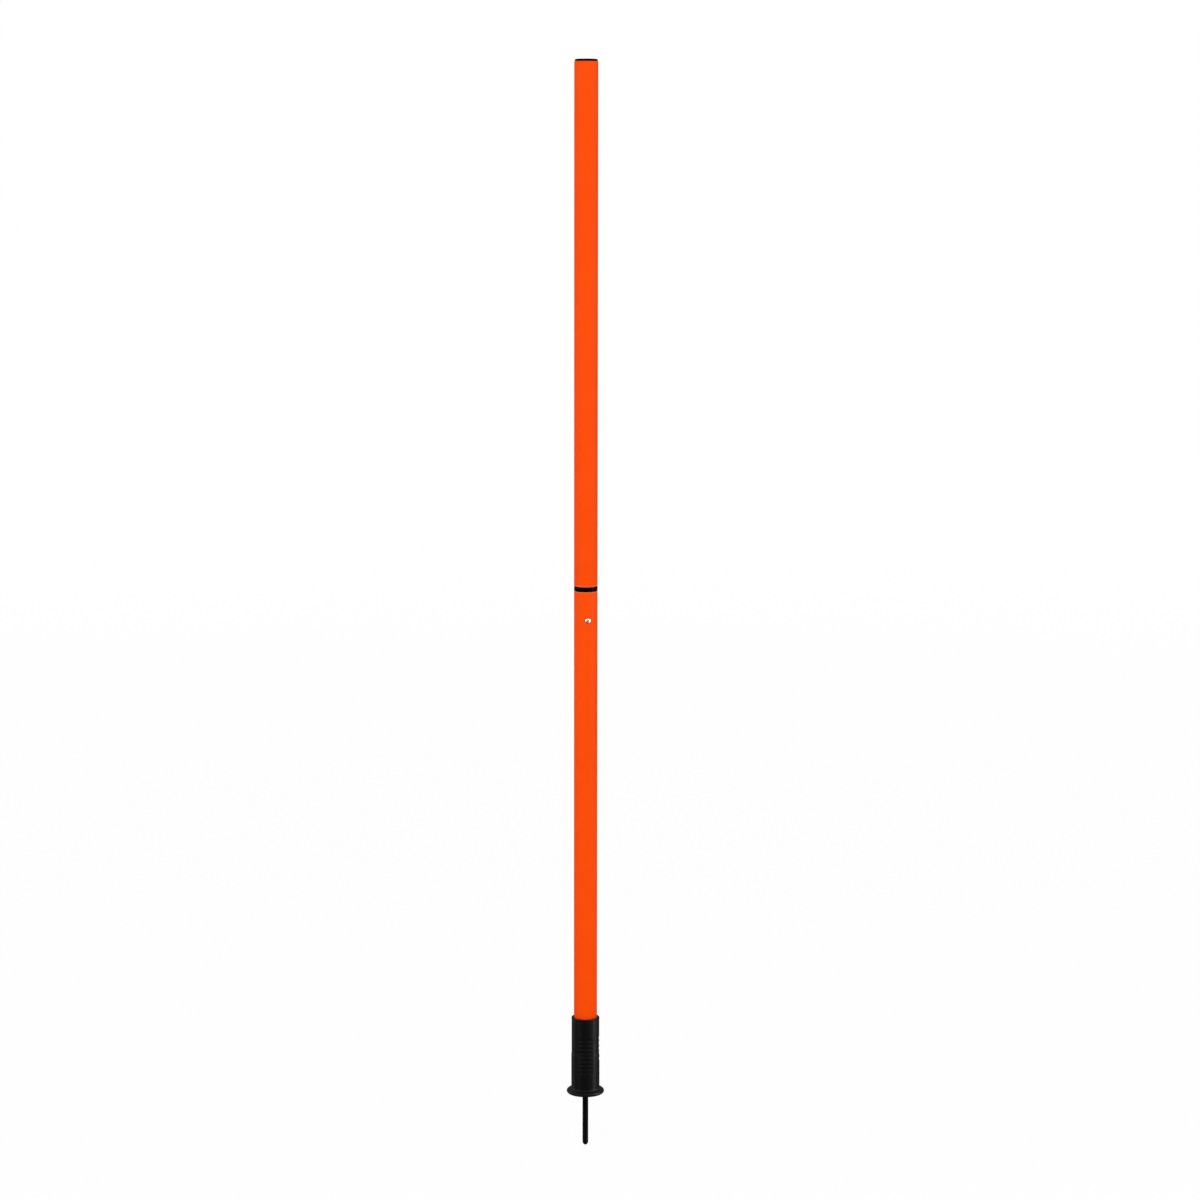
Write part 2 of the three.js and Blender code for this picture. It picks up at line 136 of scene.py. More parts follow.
def colour_property(name, description, colour):
    """A colour in linear light."""
    return FloatVectorProperty(
        name=name, description=description, default=colour, size=3, min=0, max=1, subtype="COLOR"
    )


class TubeSettings(bpy.types.PropertyGroup):
    """Sizes of the two tubes, the cap and the coupler."""

    wall: length_property("Wall", "Wall of both tubes", 2.0 * MM)
    end_round: length_property("End round", "Rounding of the tubes' ends", 0.5 * MM)
    cap_head: length_property("Cap head", "Height of the cap's head", 3.0 * MM)
    cap_round: length_property("Cap round", "Rounding of the cap's edge", 2.1 * MM)
    cap_crown: length_property("Cap crown", "Rise of the cap's middle over its edge", 0.4 * MM)
    cap_wall: length_property("Cap wall", "Wall of the cap's skirt", 1.8 * MM)
    barb_rise: length_property("Barb rise", "How far the cap's barbs stand out", 0.4 * MM)
    barb_height: length_property("Barb height", "Height of one barb", 1.6 * MM)
    barb_pitch: length_property("Barb pitch", "From one barb to the next", 5.0 * MM)
    barb_count: count_property("Barbs", "Barbs on the cap's skirt", 2)
    collar_height: length_property("Collar", "Height of the coupler's collar", COLLAR_HEIGHT)
    collar_round: length_property("Collar round", "Rounding of the collar's edges", 0.3 * MM)
    spigot_wall: length_property("Spigot wall", "Wall of the coupler's spigots", 3.0 * MM)
    spigot_lead: length_property("Spigot lead", "Bevel at a spigot's end", 1.6 * MM)
    groove_depth: length_property("Glue groove depth", "Depth of a glue groove", 0.6 * MM)
    groove_width: length_property("Glue groove width", "Width of a glue groove", 4.0 * MM)
    groove_pitch: length_property("Glue groove pitch", "From one glue groove to the next", 20 * MM)
    groove_count: count_property("Glue grooves", "Grooves in the glued spigot", 2)
    sides: count_property("Sides", "Facets round a tube", 144, 12)


class ButtonSettings(bpy.types.PropertyGroup):
    """Sizes of the snap button and its strip spring."""

    radius: length_property("Radius", "Radius of the button", 3.7 * MM)
    height: length_property("Height", "Height of the button's axis", BUTTON_HEIGHT)
    stand: length_property("Stand", "How far the button stands out of the tube", 3.0 * MM)
    straight: length_property("Straight", "Straight part below the dome", 0.7 * MM)
    turn: FloatProperty(
        name="Turn",
        description="Turn of the button to the right of the front",
        default=button_turn(),
        subtype="ANGLE",
    )
    rivet_radius: length_property("Rivet", "Radius of the rivet's shank", 1.6 * MM)
    rivet_head_radius: length_property("Rivet head", "Radius of the rivet's head", 2.7 * MM)
    rivet_head_height: length_property("Rivet head height", "Height of its head", 0.9 * MM)
    strip_thickness: length_property("Strip", "Thickness of the strip spring", 0.8 * MM)
    strip_width: length_property("Strip width", "Width of the strip spring", 7.0 * MM)
    strip_tail: length_property("Strip tail", "Strip below the button", 9.0 * MM)
    strip_leg: length_property("Strip leg", "Straight leg of the strip", 22 * MM)
    strip_slope: length_property("Strip slope", "Height of the strip's slope", 12 * MM)
    strip_bend: length_property("Strip bend", "Radius of the strip's bend", 4.0 * MM)
    sides: count_property("Sides", "Facets round the button", 64, 12)


class SpringSettings(bpy.types.PropertyGroup):
    """Sizes of the base spring."""

    wire: length_property("Wire", "Thickness of the spring's wire", 4.4 * MM)
    coil_gap: length_property("Coil gap", "Gap between two turns", 0.8 * MM)
    wire_sides: count_property("Wire sides", "Facets round the wire", 16, 6)
    steps: count_property("Steps", "Steps in one turn", 48, 8)


class BootSettings(bpy.types.PropertyGroup):
    """Sizes of the rubber boot and its grip ribs."""

    upper_radius: length_property("Upper radius", "Sleeve above the step", 19.2 * MM)
    lower_radius: length_property("Lower radius", "Sleeve below the step", 19.6 * MM)
    step_height: length_property("Step", "Height of the step", 57 * MM)
    step_run: length_property("Step run", "Height that the step takes", 3.0 * MM)
    floor: length_property("Floor", "Thickness of the boot's floor", 8.0 * MM)
    bead_radius: length_property("Mouth bead", "Radius of the bead at the mouth", 19.4 * MM)
    bead_height: length_property("Bead height", "Height of the bead", 3.0 * MM)
    bead_groove: length_property("Bead groove", "Depth of the groove below the bead", 0.45 * MM)
    mouth_round: length_property("Mouth round", "Rounding of the mouth", 1.4 * MM)
    mouth_flare: length_property("Mouth flare", "Widening of the bore at the mouth", 0.9 * MM)
    flare_height: length_property("Flare height", "Height of the flare", 1.8 * MM)
    flange_height: length_property("Flange", "Height of the flange's rim", 5.4 * MM)
    flange_crown: length_property("Flange crown", "Rise of the flange to the sleeve", 0.9 * MM)
    flange_fillet: length_property("Fillet", "Fillet between flange and sleeve", 2.6 * MM)
    groove_depth: length_property("Groove", "Depth of the grip grooves", 0.5 * MM)
    groove_top: length_property("Groove top", "Height of the panels' upper edge", 82 * MM)
    fine_pitch: length_property("Fine pitch", "From one fine groove to the next", 5.75 * MM)
    fine_count: count_property("Fine grooves", "Grooves in a fine panel", 9)
    coarse_pitch: length_property("Coarse pitch", "From one coarse groove to the next", 7.4 * MM)
    coarse_count: count_property("Coarse grooves", "Grooves in the coarse panel", 5)
    panel_turn: angle_property("Panel turn", "Turn of the front panel from the front", 1)
    panel_span: angle_property("Panel span", "Width of a panel round the boot", 66)
    panel_fade: angle_property("Panel fade", "Where the grooves run out", 9)
    row: length_property("Row", "Height of one row of the mesh", 0.45 * MM)
    sides: count_property("Sides", "Facets round the boot", 160, 24)


class SpikeSettings(bpy.types.PropertyGroup):
    """Sizes of the ground spike."""

    radius: length_property("Radius", "Radius of the spike", 4.0 * MM)
    point: length_property("Point", "Length of the rounded point", 5.0 * MM)
    shoulder_radius: length_property("Shoulder", "Radius of the shoulder", 11 * MM)
    shoulder_height: length_property("Shoulder height", "Height of the shoulder", 3.0 * MM)
    edge: length_property("Edge", "Rounding of the shoulder's edges", 0.25 * MM)
    end_bevel: length_property("End bevel", "Bevel at the upper end", 0.8 * MM)
    sides: count_property("Sides", "Facets round the spike", 64, 12)


class FinishSettings(bpy.types.PropertyGroup):
    """Colours of the finishes."""

    orange: colour_property("Orange", "Colour of the tubes", (0.97, 0.079, 0.0034))
    # Colour of the painted highlight on the tubes' rounded ends at the joint
    scuff: colour_property("End highlight", "Paler tone at the tubes' handled ends", (1.0, 0.2, 0.06))
    orange_shade: colour_property("Orange shade", "Darker tone of the tubes", (0.93, 0.071, 0.003))
    black: colour_property("Black plastic", "Colour of cap and coupler", (0.0014, 0.0012, 0.0012))
    rubber: colour_property("Rubber", "Colour of the boot", (0.0018, 0.0019, 0.0019))
    # Pale tone of dust and rubbed wear, also the painted highlight on the boot's upward faces
    rubber_dust: colour_property("Dust, wear and highlight", "Paler tone on worn rubber", (0.014, 0.014, 0.0136))
    spike: colour_property("Spike", "Colour of the spike's coating", (0.0013, 0.0013, 0.0014))
    steel: colour_property("Steel", "Colour of bare steel", (0.70, 0.60, 0.48))
    zinc: colour_property("Zinc", "Colour of plated steel", (0.55, 0.56, 0.58))
    nylon: colour_property("Nylon", "Colour of the spring seats", (0.012, 0.012, 0.013))


class StageSettings(bpy.types.PropertyGroup):
    """Camera, floor and lamps."""

    distance: length_property("Distance", "From the pole to the camera, level", 4.2)
    height: length_property("Height", "Camera above the ground", 1.3467)
    side: length_property("Side", "Camera to the right of the pole", 0.0193)
    tilt: angle_property("Tilt", "How far the camera looks down", 8.83)
    roll: angle_property("Roll", "How far the camera leans to one side", 0.09)
    lens: FloatProperty(name="Lens", description="Focal length", default=93.75, unit="CAMERA")
    floor_radius: length_property("Floor", "Radius of the floor", 14.0)
    floor_drop: length_property("Floor drop", "Floor below the spike's tip", 0.5 * MM)
    floor_glow: share_property("Floor glow", "Share of plain white in the seen floor", 0.95)
    fill: strength_property("Fill", "Light from all round", 0.75)
    room: strength_property("Room", "How bright the unlit room is in reflections", 0.03)
    backdrop: strength_property("Backdrop", "How bright the backdrop is in reflections", 0.4)
    right_strip: strength_property("Right strip", "Power of the right strip light", 230)
    left_strip: strength_property("Left strip", "Power of the left strip light", 42)
    left_screen: strength_property("Left screen", "Power of the screen at the front left", 60)
    front_light: strength_property("Front", "Power of the high front light", 28)


class PoleSettings(bpy.types.PropertyGroup):
    """Everything that can be set on the slalom pole."""

    tubes: PointerProperty(type=TubeSettings)
    button: PointerProperty(type=ButtonSettings)
    spring: PointerProperty(type=SpringSettings)
    boot: PointerProperty(type=BootSettings)
    spike: PointerProperty(type=SpikeSettings)
    finish: PointerProperty(type=FinishSettings)
    stage: PointerProperty(type=StageSettings)


# Mesh helpers

SHARP_ANGLE = math.radians(32)
AXIS_RADIUS = 1e-7
MERGE_DISTANCE = 0.001 * MM


def arc(centre, radius, start, end, steps, rise=None):
    """Points on an arc in a turned profile, from one angle in degrees to another."""
    rise = radius if rise is None else rise
    points = []
    for step in range(steps + 1):
        angle = math.radians(start + (end - start) * step / steps)
        points.append((centre[0] + radius * math.cos(angle), centre[1] + rise * math.sin(angle)))
    return points


def mark_sharp(bm):
    """Smooth faces, with sharp edges where two faces meet at an angle."""
    for face in bm.faces:
        face.smooth = True
    for edge in bm.edges:
        edge.smooth = edge.is_manifold and edge.calc_face_angle(0) < SHARP_ANGLE


def add_piece(name, bm):
    """A new object from a mesh in the making."""
    mark_sharp(bm)
    mesh = bpy.data.meshes.new(name)
    bm.to_mesh(mesh)
    bm.free()
    piece = bpy.data.objects.new(name, mesh)
    bpy.context.scene.collection.objects.link(piece)
    return piece


def ring_of(bm, radius, height, sides):
    """The vertices at one point of a turned profile."""
    if radius < AXIS_RADIUS:
        return [bm.verts.new((0, 0, height))]
    turns = [FULL_TURN * side / sides for side in range(sides)]
    return [bm.verts.new((radius * math.cos(t), radius * math.sin(t), height)) for t in turns]


def turned(profile, sides, is_open=False):
    """A body turned about Z. Its profile of (radius, height) runs counterclockwise, from axis to
    axis or round a closed loop."""
    bm = bmesh.new()
    rings = [ring_of(bm, radius, height, sides) for radius, height in profile]
    closing = [] if len(rings[0]) == 1 or is_open else [rings[0]]
    following = rings[1:] + closing
    for lower, upper in zip(rings, following):
        for side in range(sides):
            beside = (side + 1) % sides
            corners = [lower[side % len(lower)], lower[beside % len(lower)]]
            corners += [upper[beside % len(upper)], upper[side % len(upper)]]
            kept = list(dict.fromkeys(corners))
            if len(kept) > 2:
                bm.faces.new(kept)
    return bm


def turned_piece(name, profile, sides):
    """A turned body as an object."""
    return add_piece(name, turned(profile, sides))


def aim_out(bm, height, turn):
    """Turns a body made about Z so that its axis points out of the pole at a height and turn."""
    lying = Matrix.Rotation(math.pi / 2, 4, "X")
    turned_round = Matrix.Rotation(turn, 4, "Z")
    lifted = Matrix.Translation((0, 0, height))
    bmesh.ops.transform(bm, matrix=lifted @ turned_round @ lying, verts=bm.verts)
    return bm


def drill(radius, reach, height, turn, sides):
    """A round cutter that runs from the axis out of the pole."""
    profile = [(0, 0), (radius, 0), (radius, reach), (0, reach)]
    return aim_out(turned(profile, sides), height, turn)


def cut_out(piece, cutters):
    """Takes cutters out of a piece. Each cutter is a mesh in the making."""
    tools = []
    for cutter in cutters:
        tool = add_piece("cutter", cutter)
        modifier = piece.modifiers.new("cut", "BOOLEAN")
        modifier.object = tool
        modifier.operation = "DIFFERENCE"
        modifier.solver = "EXACT"
        tools.append(tool)
    depsgraph = bpy.context.evaluated_depsgraph_get()
    mesh = bpy.data.meshes.new_from_object(piece.evaluated_get(depsgraph))
    piece.modifiers.clear()
    whole = piece.data
    piece.data = mesh
    bpy.data.meshes.remove(whole)
    for tool in tools:
        tool_mesh = tool.data
        bpy.data.objects.remove(tool)
        bpy.data.meshes.remove(tool_mesh)
    bm = bmesh.new()
    bm.from_mesh(piece.data)
    bmesh.ops.remove_doubles(bm, verts=bm.verts, dist=MERGE_DISTANCE)
    mark_sharp(bm)
    bm.to_mesh(piece.data)
    bm.free()


def loft(bm, sections):
    """Joins closed sections of equal count, one after another, and closes both ends."""
    for section, following in zip(sections, sections[1:]):
        count = len(section)
        for corner in range(count):
            beside = (corner + 1) % count
            bm.faces.new((section[corner], section[beside], following[beside], following[corner]))
    bm.faces.new(list(reversed(sections[0])))
    bm.faces.new(sections[-1])


def dress(piece, material, body=None, replaced=()):
    """Gives a piece its material and slot, and says what it rides on and stands for."""
    piece.data.materials.clear()
    piece.data.materials.append(material)
    if replaced:
        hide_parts(*replaced)
    if body:
        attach(piece, body)


def repaint(node, material):
    """Gives a node of the model its finish."""
    piece = frame["nodes"][node]
    if not piece.material_slots:
        piece.data.materials.append(material)
    for place in piece.material_slots:
        place.material = material


# Shader helpers


def put(tree, kind, values=None, **settings):
    """Adds a node, with values on its inputs. A value that is a socket is linked."""
    node = tree.nodes.new(kind)
    for name, value in settings.items():
        setattr(node, name, value)
    for name, value in (values or {}).items():
        if isinstance(value, bpy.types.NodeSocket):
            tree.links.new(value, node.inputs[name])
        else:
            node.inputs[name].default_value = value
    return node


def colour_of(values):
    """A colour with full alpha."""
    return (*values, 1.0)


def mix_colours(tree, share, first, second):
    """The socket of a mix of two colours."""
    node = put(tree, "ShaderNodeMix", data_type="RGBA")
    named = {"Factor_Float": share, "A_Color": first, "B_Color": second}
    for socket in node.inputs:
        if socket.identifier in named:
            value = named[socket.identifier]
            if isinstance(value, bpy.types.NodeSocket):
                tree.links.new(value, socket)
            else:
                socket.default_value = value
    return next(socket for socket in node.outputs if socket.identifier == "Result_Color")


def calculate(tree, operation, *values, is_clamped=False):
    """The result of one sum on values or sockets."""
    numbered = dict(enumerate(values))
    node = put(tree, "ShaderNodeMath", numbered, operation=operation, use_clamp=is_clamped)
    return node.outputs[0]


def remap(tree, value, limits, low=0.0, high=1.0, interpolation="LINEAR"):
    """A value that goes from low to high between two limits."""
    start, end = limits
    ends = {"From Min": start, "From Max": end, "To Min": low, "To Max": high}
    node = put(
        tree, "ShaderNodeMapRange", {"Value": value, **ends}, interpolation_type=interpolation
    )
    return node.outputs["Result"]


def noise_at(tree, place, scale, detail):
    """Soft noise over the surface."""
    node = put(tree, "ShaderNodeTexNoise", {"Vector": place, "Scale": scale, "Detail": detail})
    return node.outputs["Fac"]


def place_on(tree, scale=(1, 1, 1)):
    """Places on the object in metres, stretched by a scale."""
    coordinates = put(tree, "ShaderNodeTexCoord").outputs["Object"]
    mapping = put(tree, "ShaderNodeMapping", {"Vector": coordinates, "Scale": scale})
    return mapping.outputs["Vector"]


# Effects that several finishes share

LINE_STRETCH = (1, 1, 0.006)
EDGE_POINTINESS = (0.505, 0.56)
WORN_NOISE = (0.35, 0.65)
UPWARD_NORMAL = (0.25, 1.0)
# Size, raggedness and reach of the painted highlight on the tube ends at the joint
END_HIGHLIGHT_NOISE_SCALE = 500.0
END_HIGHLIGHT_RAGGED = 0.6 * MM
END_HIGHLIGHT_REACH = (COLLAR_HEIGHT / 2 + 1.1 * MM, COLLAR_HEIGHT / 2 + 1.9 * MM)


def slow_mottle(tree, given):
    """Slow changes over the surface, for tone and gloss."""
    noise = noise_at(tree, place_on(tree), given["Scale"], detail=3.0)
    spread = calculate(tree, "SUBTRACT", noise, 0.5)
    return calculate(tree, "MULTIPLY_ADD", spread, given["Contrast"], 0.5, is_clamped=True)


def moulded_grain(tree, given):
    """Fine moulded grain: small soft bumps with finer noise in them."""
    place = place_on(tree)
    cells = put(
        tree,
        "ShaderNodeTexVoronoi",
        {"Vector": place, "Scale": given["Scale"]},
        feature="SMOOTH_F1",
    )
    finer = calculate(tree, "MULTIPLY", given["Scale"], given["Fineness"])
    noise = noise_at(tree, place, finer, detail=2.0)
    return calculate(tree, "MULTIPLY_ADD", noise, 0.5, cells.outputs["Distance"])


def draw_lines(tree, given):
    """Fine lines along the pole that a die leaves on drawn or extruded stock."""
    noise = noise_at(tree, place_on(tree, LINE_STRETCH), given["Scale"], detail=4.0)
    return calculate(tree, "MULTIPLY", noise, given["Contrast"])


def edge_wear(tree, given):
    """Where edges stand out and rub, broken up by noise."""
    geometry = put(tree, "ShaderNodeNewGeometry")
    edges = remap(tree, geometry.outputs["Pointiness"], EDGE_POINTINESS)
    noise = noise_at(tree, place_on(tree), given["Scale"], detail=4.0)
    rubbed = calculate(tree, "MULTIPLY", edges, remap(tree, noise, WORN_NOISE))
    return calculate(tree, "MULTIPLY", rubbed, given["Amount"], is_clamped=True)


def settled_dust(tree, given):
    """Paler on what faces up: partly settled dust, partly a painted highlight where light falls
    from above.
    """
    geometry = put(tree, "ShaderNodeNewGeometry")
    facing = put(tree, "ShaderNodeSeparateXYZ", {"Vector": geometry.outputs["Normal"]})
    upward = remap(tree, facing.outputs["Z"], UPWARD_NORMAL)
    noise = noise_at(tree, place_on(tree), given["Scale"], detail=5.0)
    grains = calculate(tree, "MULTIPLY", upward, noise)
    return calculate(tree, "MULTIPLY", grains, given["Amount"], is_clamped=True)


def scuffed_ends(tree, given):
    """A painted highlight: paler tube ends beside the joint, where their rounded edges catch the
    light, broken up by noise.
    """
    place = place_on(tree)
    height = put(tree, "ShaderNodeSeparateXYZ", {"Vector": place}).outputs["Z"]
    away = calculate(tree, "ABSOLUTE", calculate(tree, "SUBTRACT", height, given["Middle"]))
    noise = noise_at(tree, place, END_HIGHLIGHT_NOISE_SCALE, detail=3.0)
    ragged = calculate(tree, "MULTIPLY_ADD", noise, END_HIGHLIGHT_RAGGED, away)
    near = remap(tree, ragged, END_HIGHLIGHT_REACH, 1.0, 0.0)
    return calculate(tree, "MULTIPLY", near, given["Amount"])


# Each effect: what draws it, its values in, and the name of its value out
EFFECTS = {
    "slow_mottle": (slow_mottle, {"Scale": 30.0, "Contrast": 1.0}, "Value"),
    "moulded_grain": (moulded_grain, {"Scale": 1500.0, "Fineness": 3.0}, "Height"),
    "draw_lines": (draw_lines, {"Scale": 900.0, "Contrast": 1.0}, "Height"),
    "edge_wear": (edge_wear, {"Amount": 0.5, "Scale": 400.0}, "Mask"),
    # Paler on what faces up: dust and a painted highlight from above
    "settled_dust": (settled_dust, {"Amount": 0.3, "Scale": 220.0}, "Mask"),
    # Painted highlight on the tube ends at the joint
    "scuffed_ends": (scuffed_ends, {"Middle": 0.7, "Amount": 0.8}, "Mask"),
}


def make_group(name):
    """Builds the shader group of an effect."""
    draw, inputs, output = EFFECTS[name]
    group = bpy.data.node_groups.new(name, "ShaderNodeTree")
    sides = group.interface
    for label, value in inputs.items():
        socket = sides.new_socket(name=label, in_out="INPUT", socket_type="NodeSocketFloat")
        socket.default_value = value
    sides.new_socket(name=output, in_out="OUTPUT", socket_type="NodeSocketFloat")
    given = group.nodes.new("NodeGroupInput")
    result = group.nodes.new("NodeGroupOutput")
    group.links.new(draw(group, given.outputs), result.inputs[output])
    return group


def effect(tree, name, **values):
    """Places a shared group in a material, with its own values, and gives its output socket."""
    group = bpy.data.node_groups.get(name) or make_group(name)
    node = tree.nodes.new("ShaderNodeGroup")
    node.node_tree = group
    for label, value in values.items():
        node.inputs[label].default_value = value
    return node.outputs[0]


def new_material(name, settings):
    """A material with one surface shader. Returns it, its tree and the shader."""
    material = bpy.data.materials.new(name)
    material.use_nodes = True
    tree = material.node_tree
    shader = next(node for node in tree.nodes if node.type == "BSDF_PRINCIPLED")
    for label, value in settings.items():
        shader.inputs[label].default_value = value
    return material, tree, shader


def add_bump(tree, shader, height, depth):
    """Raises the surface by a height from 0 to 1, at a depth in metres."""
    bump = put(tree, "ShaderNodeBump", {"Height": height, "Distance": depth, "Strength": 1.0})
    tree.links.new(bump.outputs["Normal"], shader.inputs["Normal"])


def vary_roughness(tree, shader, value, low, high):
    """Roughness between two limits, by a value from 0 to 1."""
    tree.links.new(remap(tree, value, (0.0, 1.0), low, high), shader.inputs["Roughness"])


def shared_material(name, maker, finish):
    """The material of that name, made once."""
    return bpy.data.materials.get(name) or maker(name, finish)


WORN_BLACK_FACTOR = 6
DIM_METAL_FACTOR = 0.86
PALE_NYLON_FACTOR = 1.5


def scaled(colour, factor):
    """A colour made lighter or darker, with full alpha."""
    return colour_of([channel * factor for channel in colour])


def make_orange_plastic(name, finish):
    """Bright satin plastic tube with a slow change of tone, faint draw lines and a painted
    highlight on its ends at the joint.
    """
    material, tree, shader = new_material(name, {"Specular IOR Level": 0.007})
    mottle = effect(tree, "slow_mottle", Scale=14.0, Contrast=1.6)
    tone = mix_colours(tree, mottle, colour_of(finish.orange_shade), colour_of(finish.orange))
    # Painted highlight: a paler tone on the tube ends beside the coupler
    end_highlight = effect(tree, "scuffed_ends", Middle=(LOWER_TUBE_TOP + UPPER_TUBE_BOTTOM) / 2)
    tone = mix_colours(tree, end_highlight, tone, colour_of(finish.scuff))
    tree.links.new(tone, shader.inputs["Base Color"])
    lines = effect(tree, "draw_lines", Scale=700.0)
    vary_roughness(tree, shader, lines, low=0.46, high=0.58)
    add_bump(tree, shader, lines, depth=0.02 * MM)
    return material


def make_black_plastic(name, finish):
    """Moulded black plastic with a fine grain and rubbed edges."""
    material, tree, shader = new_material(name, {"Specular IOR Level": 0.007})
    wear = effect(tree, "edge_wear", Amount=0.25, Scale=600.0)
    worn = scaled(finish.black, WORN_BLACK_FACTOR)
    tone = mix_colours(tree, wear, colour_of(finish.black), worn)
    tree.links.new(tone, shader.inputs["Base Color"])
    vary_roughness(tree, shader, effect(tree, "slow_mottle", Scale=120.0), low=0.4, high=0.52)
    add_bump(tree, shader, effect(tree, "moulded_grain", Scale=1600.0), depth=0.02 * MM)
    return material


def make_black_rubber(name, finish):
    """Moulded rubber: fine grain, paler where the ribs rub, and paler on what faces up, partly as
    dust and partly as a painted highlight.
    """
    material, tree, shader = new_material(name, {"Specular IOR Level": 0.06})
    # Paler on upward faces such as the flange's top: partly dust, partly a painted highlight
    dust_and_highlight = effect(tree, "settled_dust", Amount=0.35)
    rubbed = effect(tree, "edge_wear", Amount=0.15, Scale=500.0)
    either = calculate(tree, "ADD", dust_and_highlight, rubbed, is_clamped=True)
    tone = mix_colours(tree, either, colour_of(finish.rubber), colour_of(finish.rubber_dust))
    tree.links.new(tone, shader.inputs["Base Color"])
    vary_roughness(tree, shader, effect(tree, "slow_mottle", Scale=90.0), low=0.42, high=0.56)
    add_bump(tree, shader, effect(tree, "moulded_grain", Scale=1100.0), depth=0.03 * MM)
    return material


def make_coated_steel(name, finish):
    """Steel rod with a thin black coating, a little rubbed at its edges."""
    material, tree, shader = new_material(name, {"Specular IOR Level": 0.05})
    wear = effect(tree, "edge_wear", Amount=0.5, Scale=700.0)
    tone = mix_colours(tree, wear, colour_of(finish.spike), colour_of(finish.rubber_dust))
    tree.links.new(tone, shader.inputs["Base Color"])
    vary_roughness(tree, shader, effect(tree, "slow_mottle", Scale=200.0), low=0.36, high=0.5)
    add_bump(tree, shader, effect(tree, "moulded_grain", Scale=2500.0), depth=0.01 * MM)
    return material


def make_metal(name, colour, roughness, lines_scale, lines_depth):
    """Bare or plated metal with fine lines and an uneven gloss."""
    material, tree, shader = new_material(name, {"Metallic": 1.0})
    mottle = effect(tree, "slow_mottle", Scale=260.0, Contrast=1.4)
    dimmer = scaled(colour, DIM_METAL_FACTOR)
    tone = mix_colours(tree, mottle, dimmer, colour_of(colour))
    tree.links.new(tone, shader.inputs["Base Color"])
    lines = effect(tree, "draw_lines", Scale=lines_scale)
    vary_roughness(tree, shader, lines, *roughness)
    add_bump(tree, shader, lines, lines_depth)
    return material


def make_polished_steel(name, finish):
    """Polished steel of the snap button."""
    return make_metal(
        name,
        finish.steel,
        roughness=(0.12, 0.22),
        lines_scale=1800.0,
        lines_depth=0.004 * MM,
    )


def make_plated_steel(name, finish):
    """Zinc plated fasteners."""
    return make_metal(
        name,
        finish.zinc,
        roughness=(0.26, 0.42),
        lines_scale=1200.0,
        lines_depth=0.008 * MM,
    )


def make_spring_steel(name, finish):
    """Drawn spring wire and strip."""
    return make_metal(
        name,
        finish.steel,
        roughness=(0.3, 0.46),
        lines_scale=900.0,
        lines_depth=0.01 * MM,
    )


def make_dark_nylon(name, finish):
    """Moulded nylon of the spring seats."""
    material, tree, shader = new_material(name, {"Specular IOR Level": 0.4})
    mottle = effect(tree, "slow_mottle", Scale=160.0)
    lighter = scaled(finish.nylon, PALE_NYLON_FACTOR)
    tone = mix_colours(tree, mottle, colour_of(finish.nylon), lighter)
    tree.links.new(tone, shader.inputs["Base Color"])
    vary_roughness(tree, shader, mottle, low=0.45, high=0.6)
    add_bump(tree, shader, effect(tree, "moulded_grain", Scale=1400.0), depth=0.02 * MM)
    return material


# Pieces

TUBE_END_STEPS = 4
CAP_EDGE_STEPS = 8
CROWN_SHARES = (0.75, 0.5, 0.25, 0)
COLLAR_EDGE_STEPS = 3
DOME_STEPS = 16
LEG_STEPS = 6
STRIP_BEND_STEPS = 18
RIVET_HOLE_SIDES = 24
FLANGE_STEPS = 14
FILLET_STEPS = 8
MOUTH_STEPS = 6
LOWER_BORE_ROWS = 20
UPPER_BORE_ROWS = 24
POINT_STEPS = 14
SHOULDER_EDGE_STEPS = 3


def tube_profile(bottom, top, bore_radius, end_round):
    """A tube with rounded outer edges at both ends."""
    middle = TUBE_RADIUS - end_round
    return [
        (bore_radius, bottom),
        *arc((middle, bottom + end_round), end_round, -90, 0, TUBE_END_STEPS),
        *arc((middle, top - end_round), end_round, 0, 90, TUBE_END_STEPS),
        (bore_radius, top),
    ]


def screw_cutters(settings):
    """Cutters for the countersunk screws in the lower tube's foot."""
    cutters = []
    for node in ("seat_screw_1", "seat_screw_2"):
        low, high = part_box(node)
        middle = (low + high) / 2
        radius = (high.z - low.z) / 2 + HOLE_GAP
        turn = math.atan2(middle.x, -middle.y)
        shank = radius - (high.z - low.z) / 4
        sunk = TUBE_RADIUS - radius + shank - HOLE_GAP
        reach = TUBE_RADIUS + settings.tubes.wall
        profile = [
            (0, 0),
            (shank, 0),
            (shank, sunk - HOLE_GAP),
            (radius, TUBE_RADIUS),
            (radius, reach),
            (0, reach),
        ]
        cutters.append(aim_out(turned(profile, settings.button.sides // 2), middle.z, turn))
    return cutters


def button_hole(settings):
    """Cutter for the snap button's hole, through a tube or the coupler's spigot."""
    button = settings.button
    reach = TUBE_RADIUS + settings.tubes.wall
    return drill(button.radius + HOLE_GAP, reach, button.height, button.turn, button.sides)


class SLALOM_OT_tubes(bpy.types.Operator):
    """Build both orange tubes, with the button's hole and the screws' holes in the lower one"""

    bl_idname = "slalom.build_tubes"
    bl_label = "Tubes"

    def execute(self, context):
        settings = context.scene.slalom_pole
        tubes = settings.tubes
        bore_radius = TUBE_RADIUS - tubes.wall
        plastic = shared_material("extruded_orange", make_orange_plastic, settings.finish)
        spans = {
            "upper_tube": (UPPER_TUBE_BOTTOM, UPPER_TUBE_TOP),
            "lower_tube": (LOWER_TUBE_BOTTOM, LOWER_TUBE_TOP),
        }
        for node, (bottom, top) in spans.items():
            profile = tube_profile(bottom, top, bore_radius, tubes.end_round)
            piece = turned_piece(f"{node}_shell", profile, tubes.sides)
            if node == "lower_tube":
                cut_out(piece, [button_hole(settings), *screw_cutters(settings)])
            dress(piece, plastic, "pole", [node])
        return {"FINISHED"}


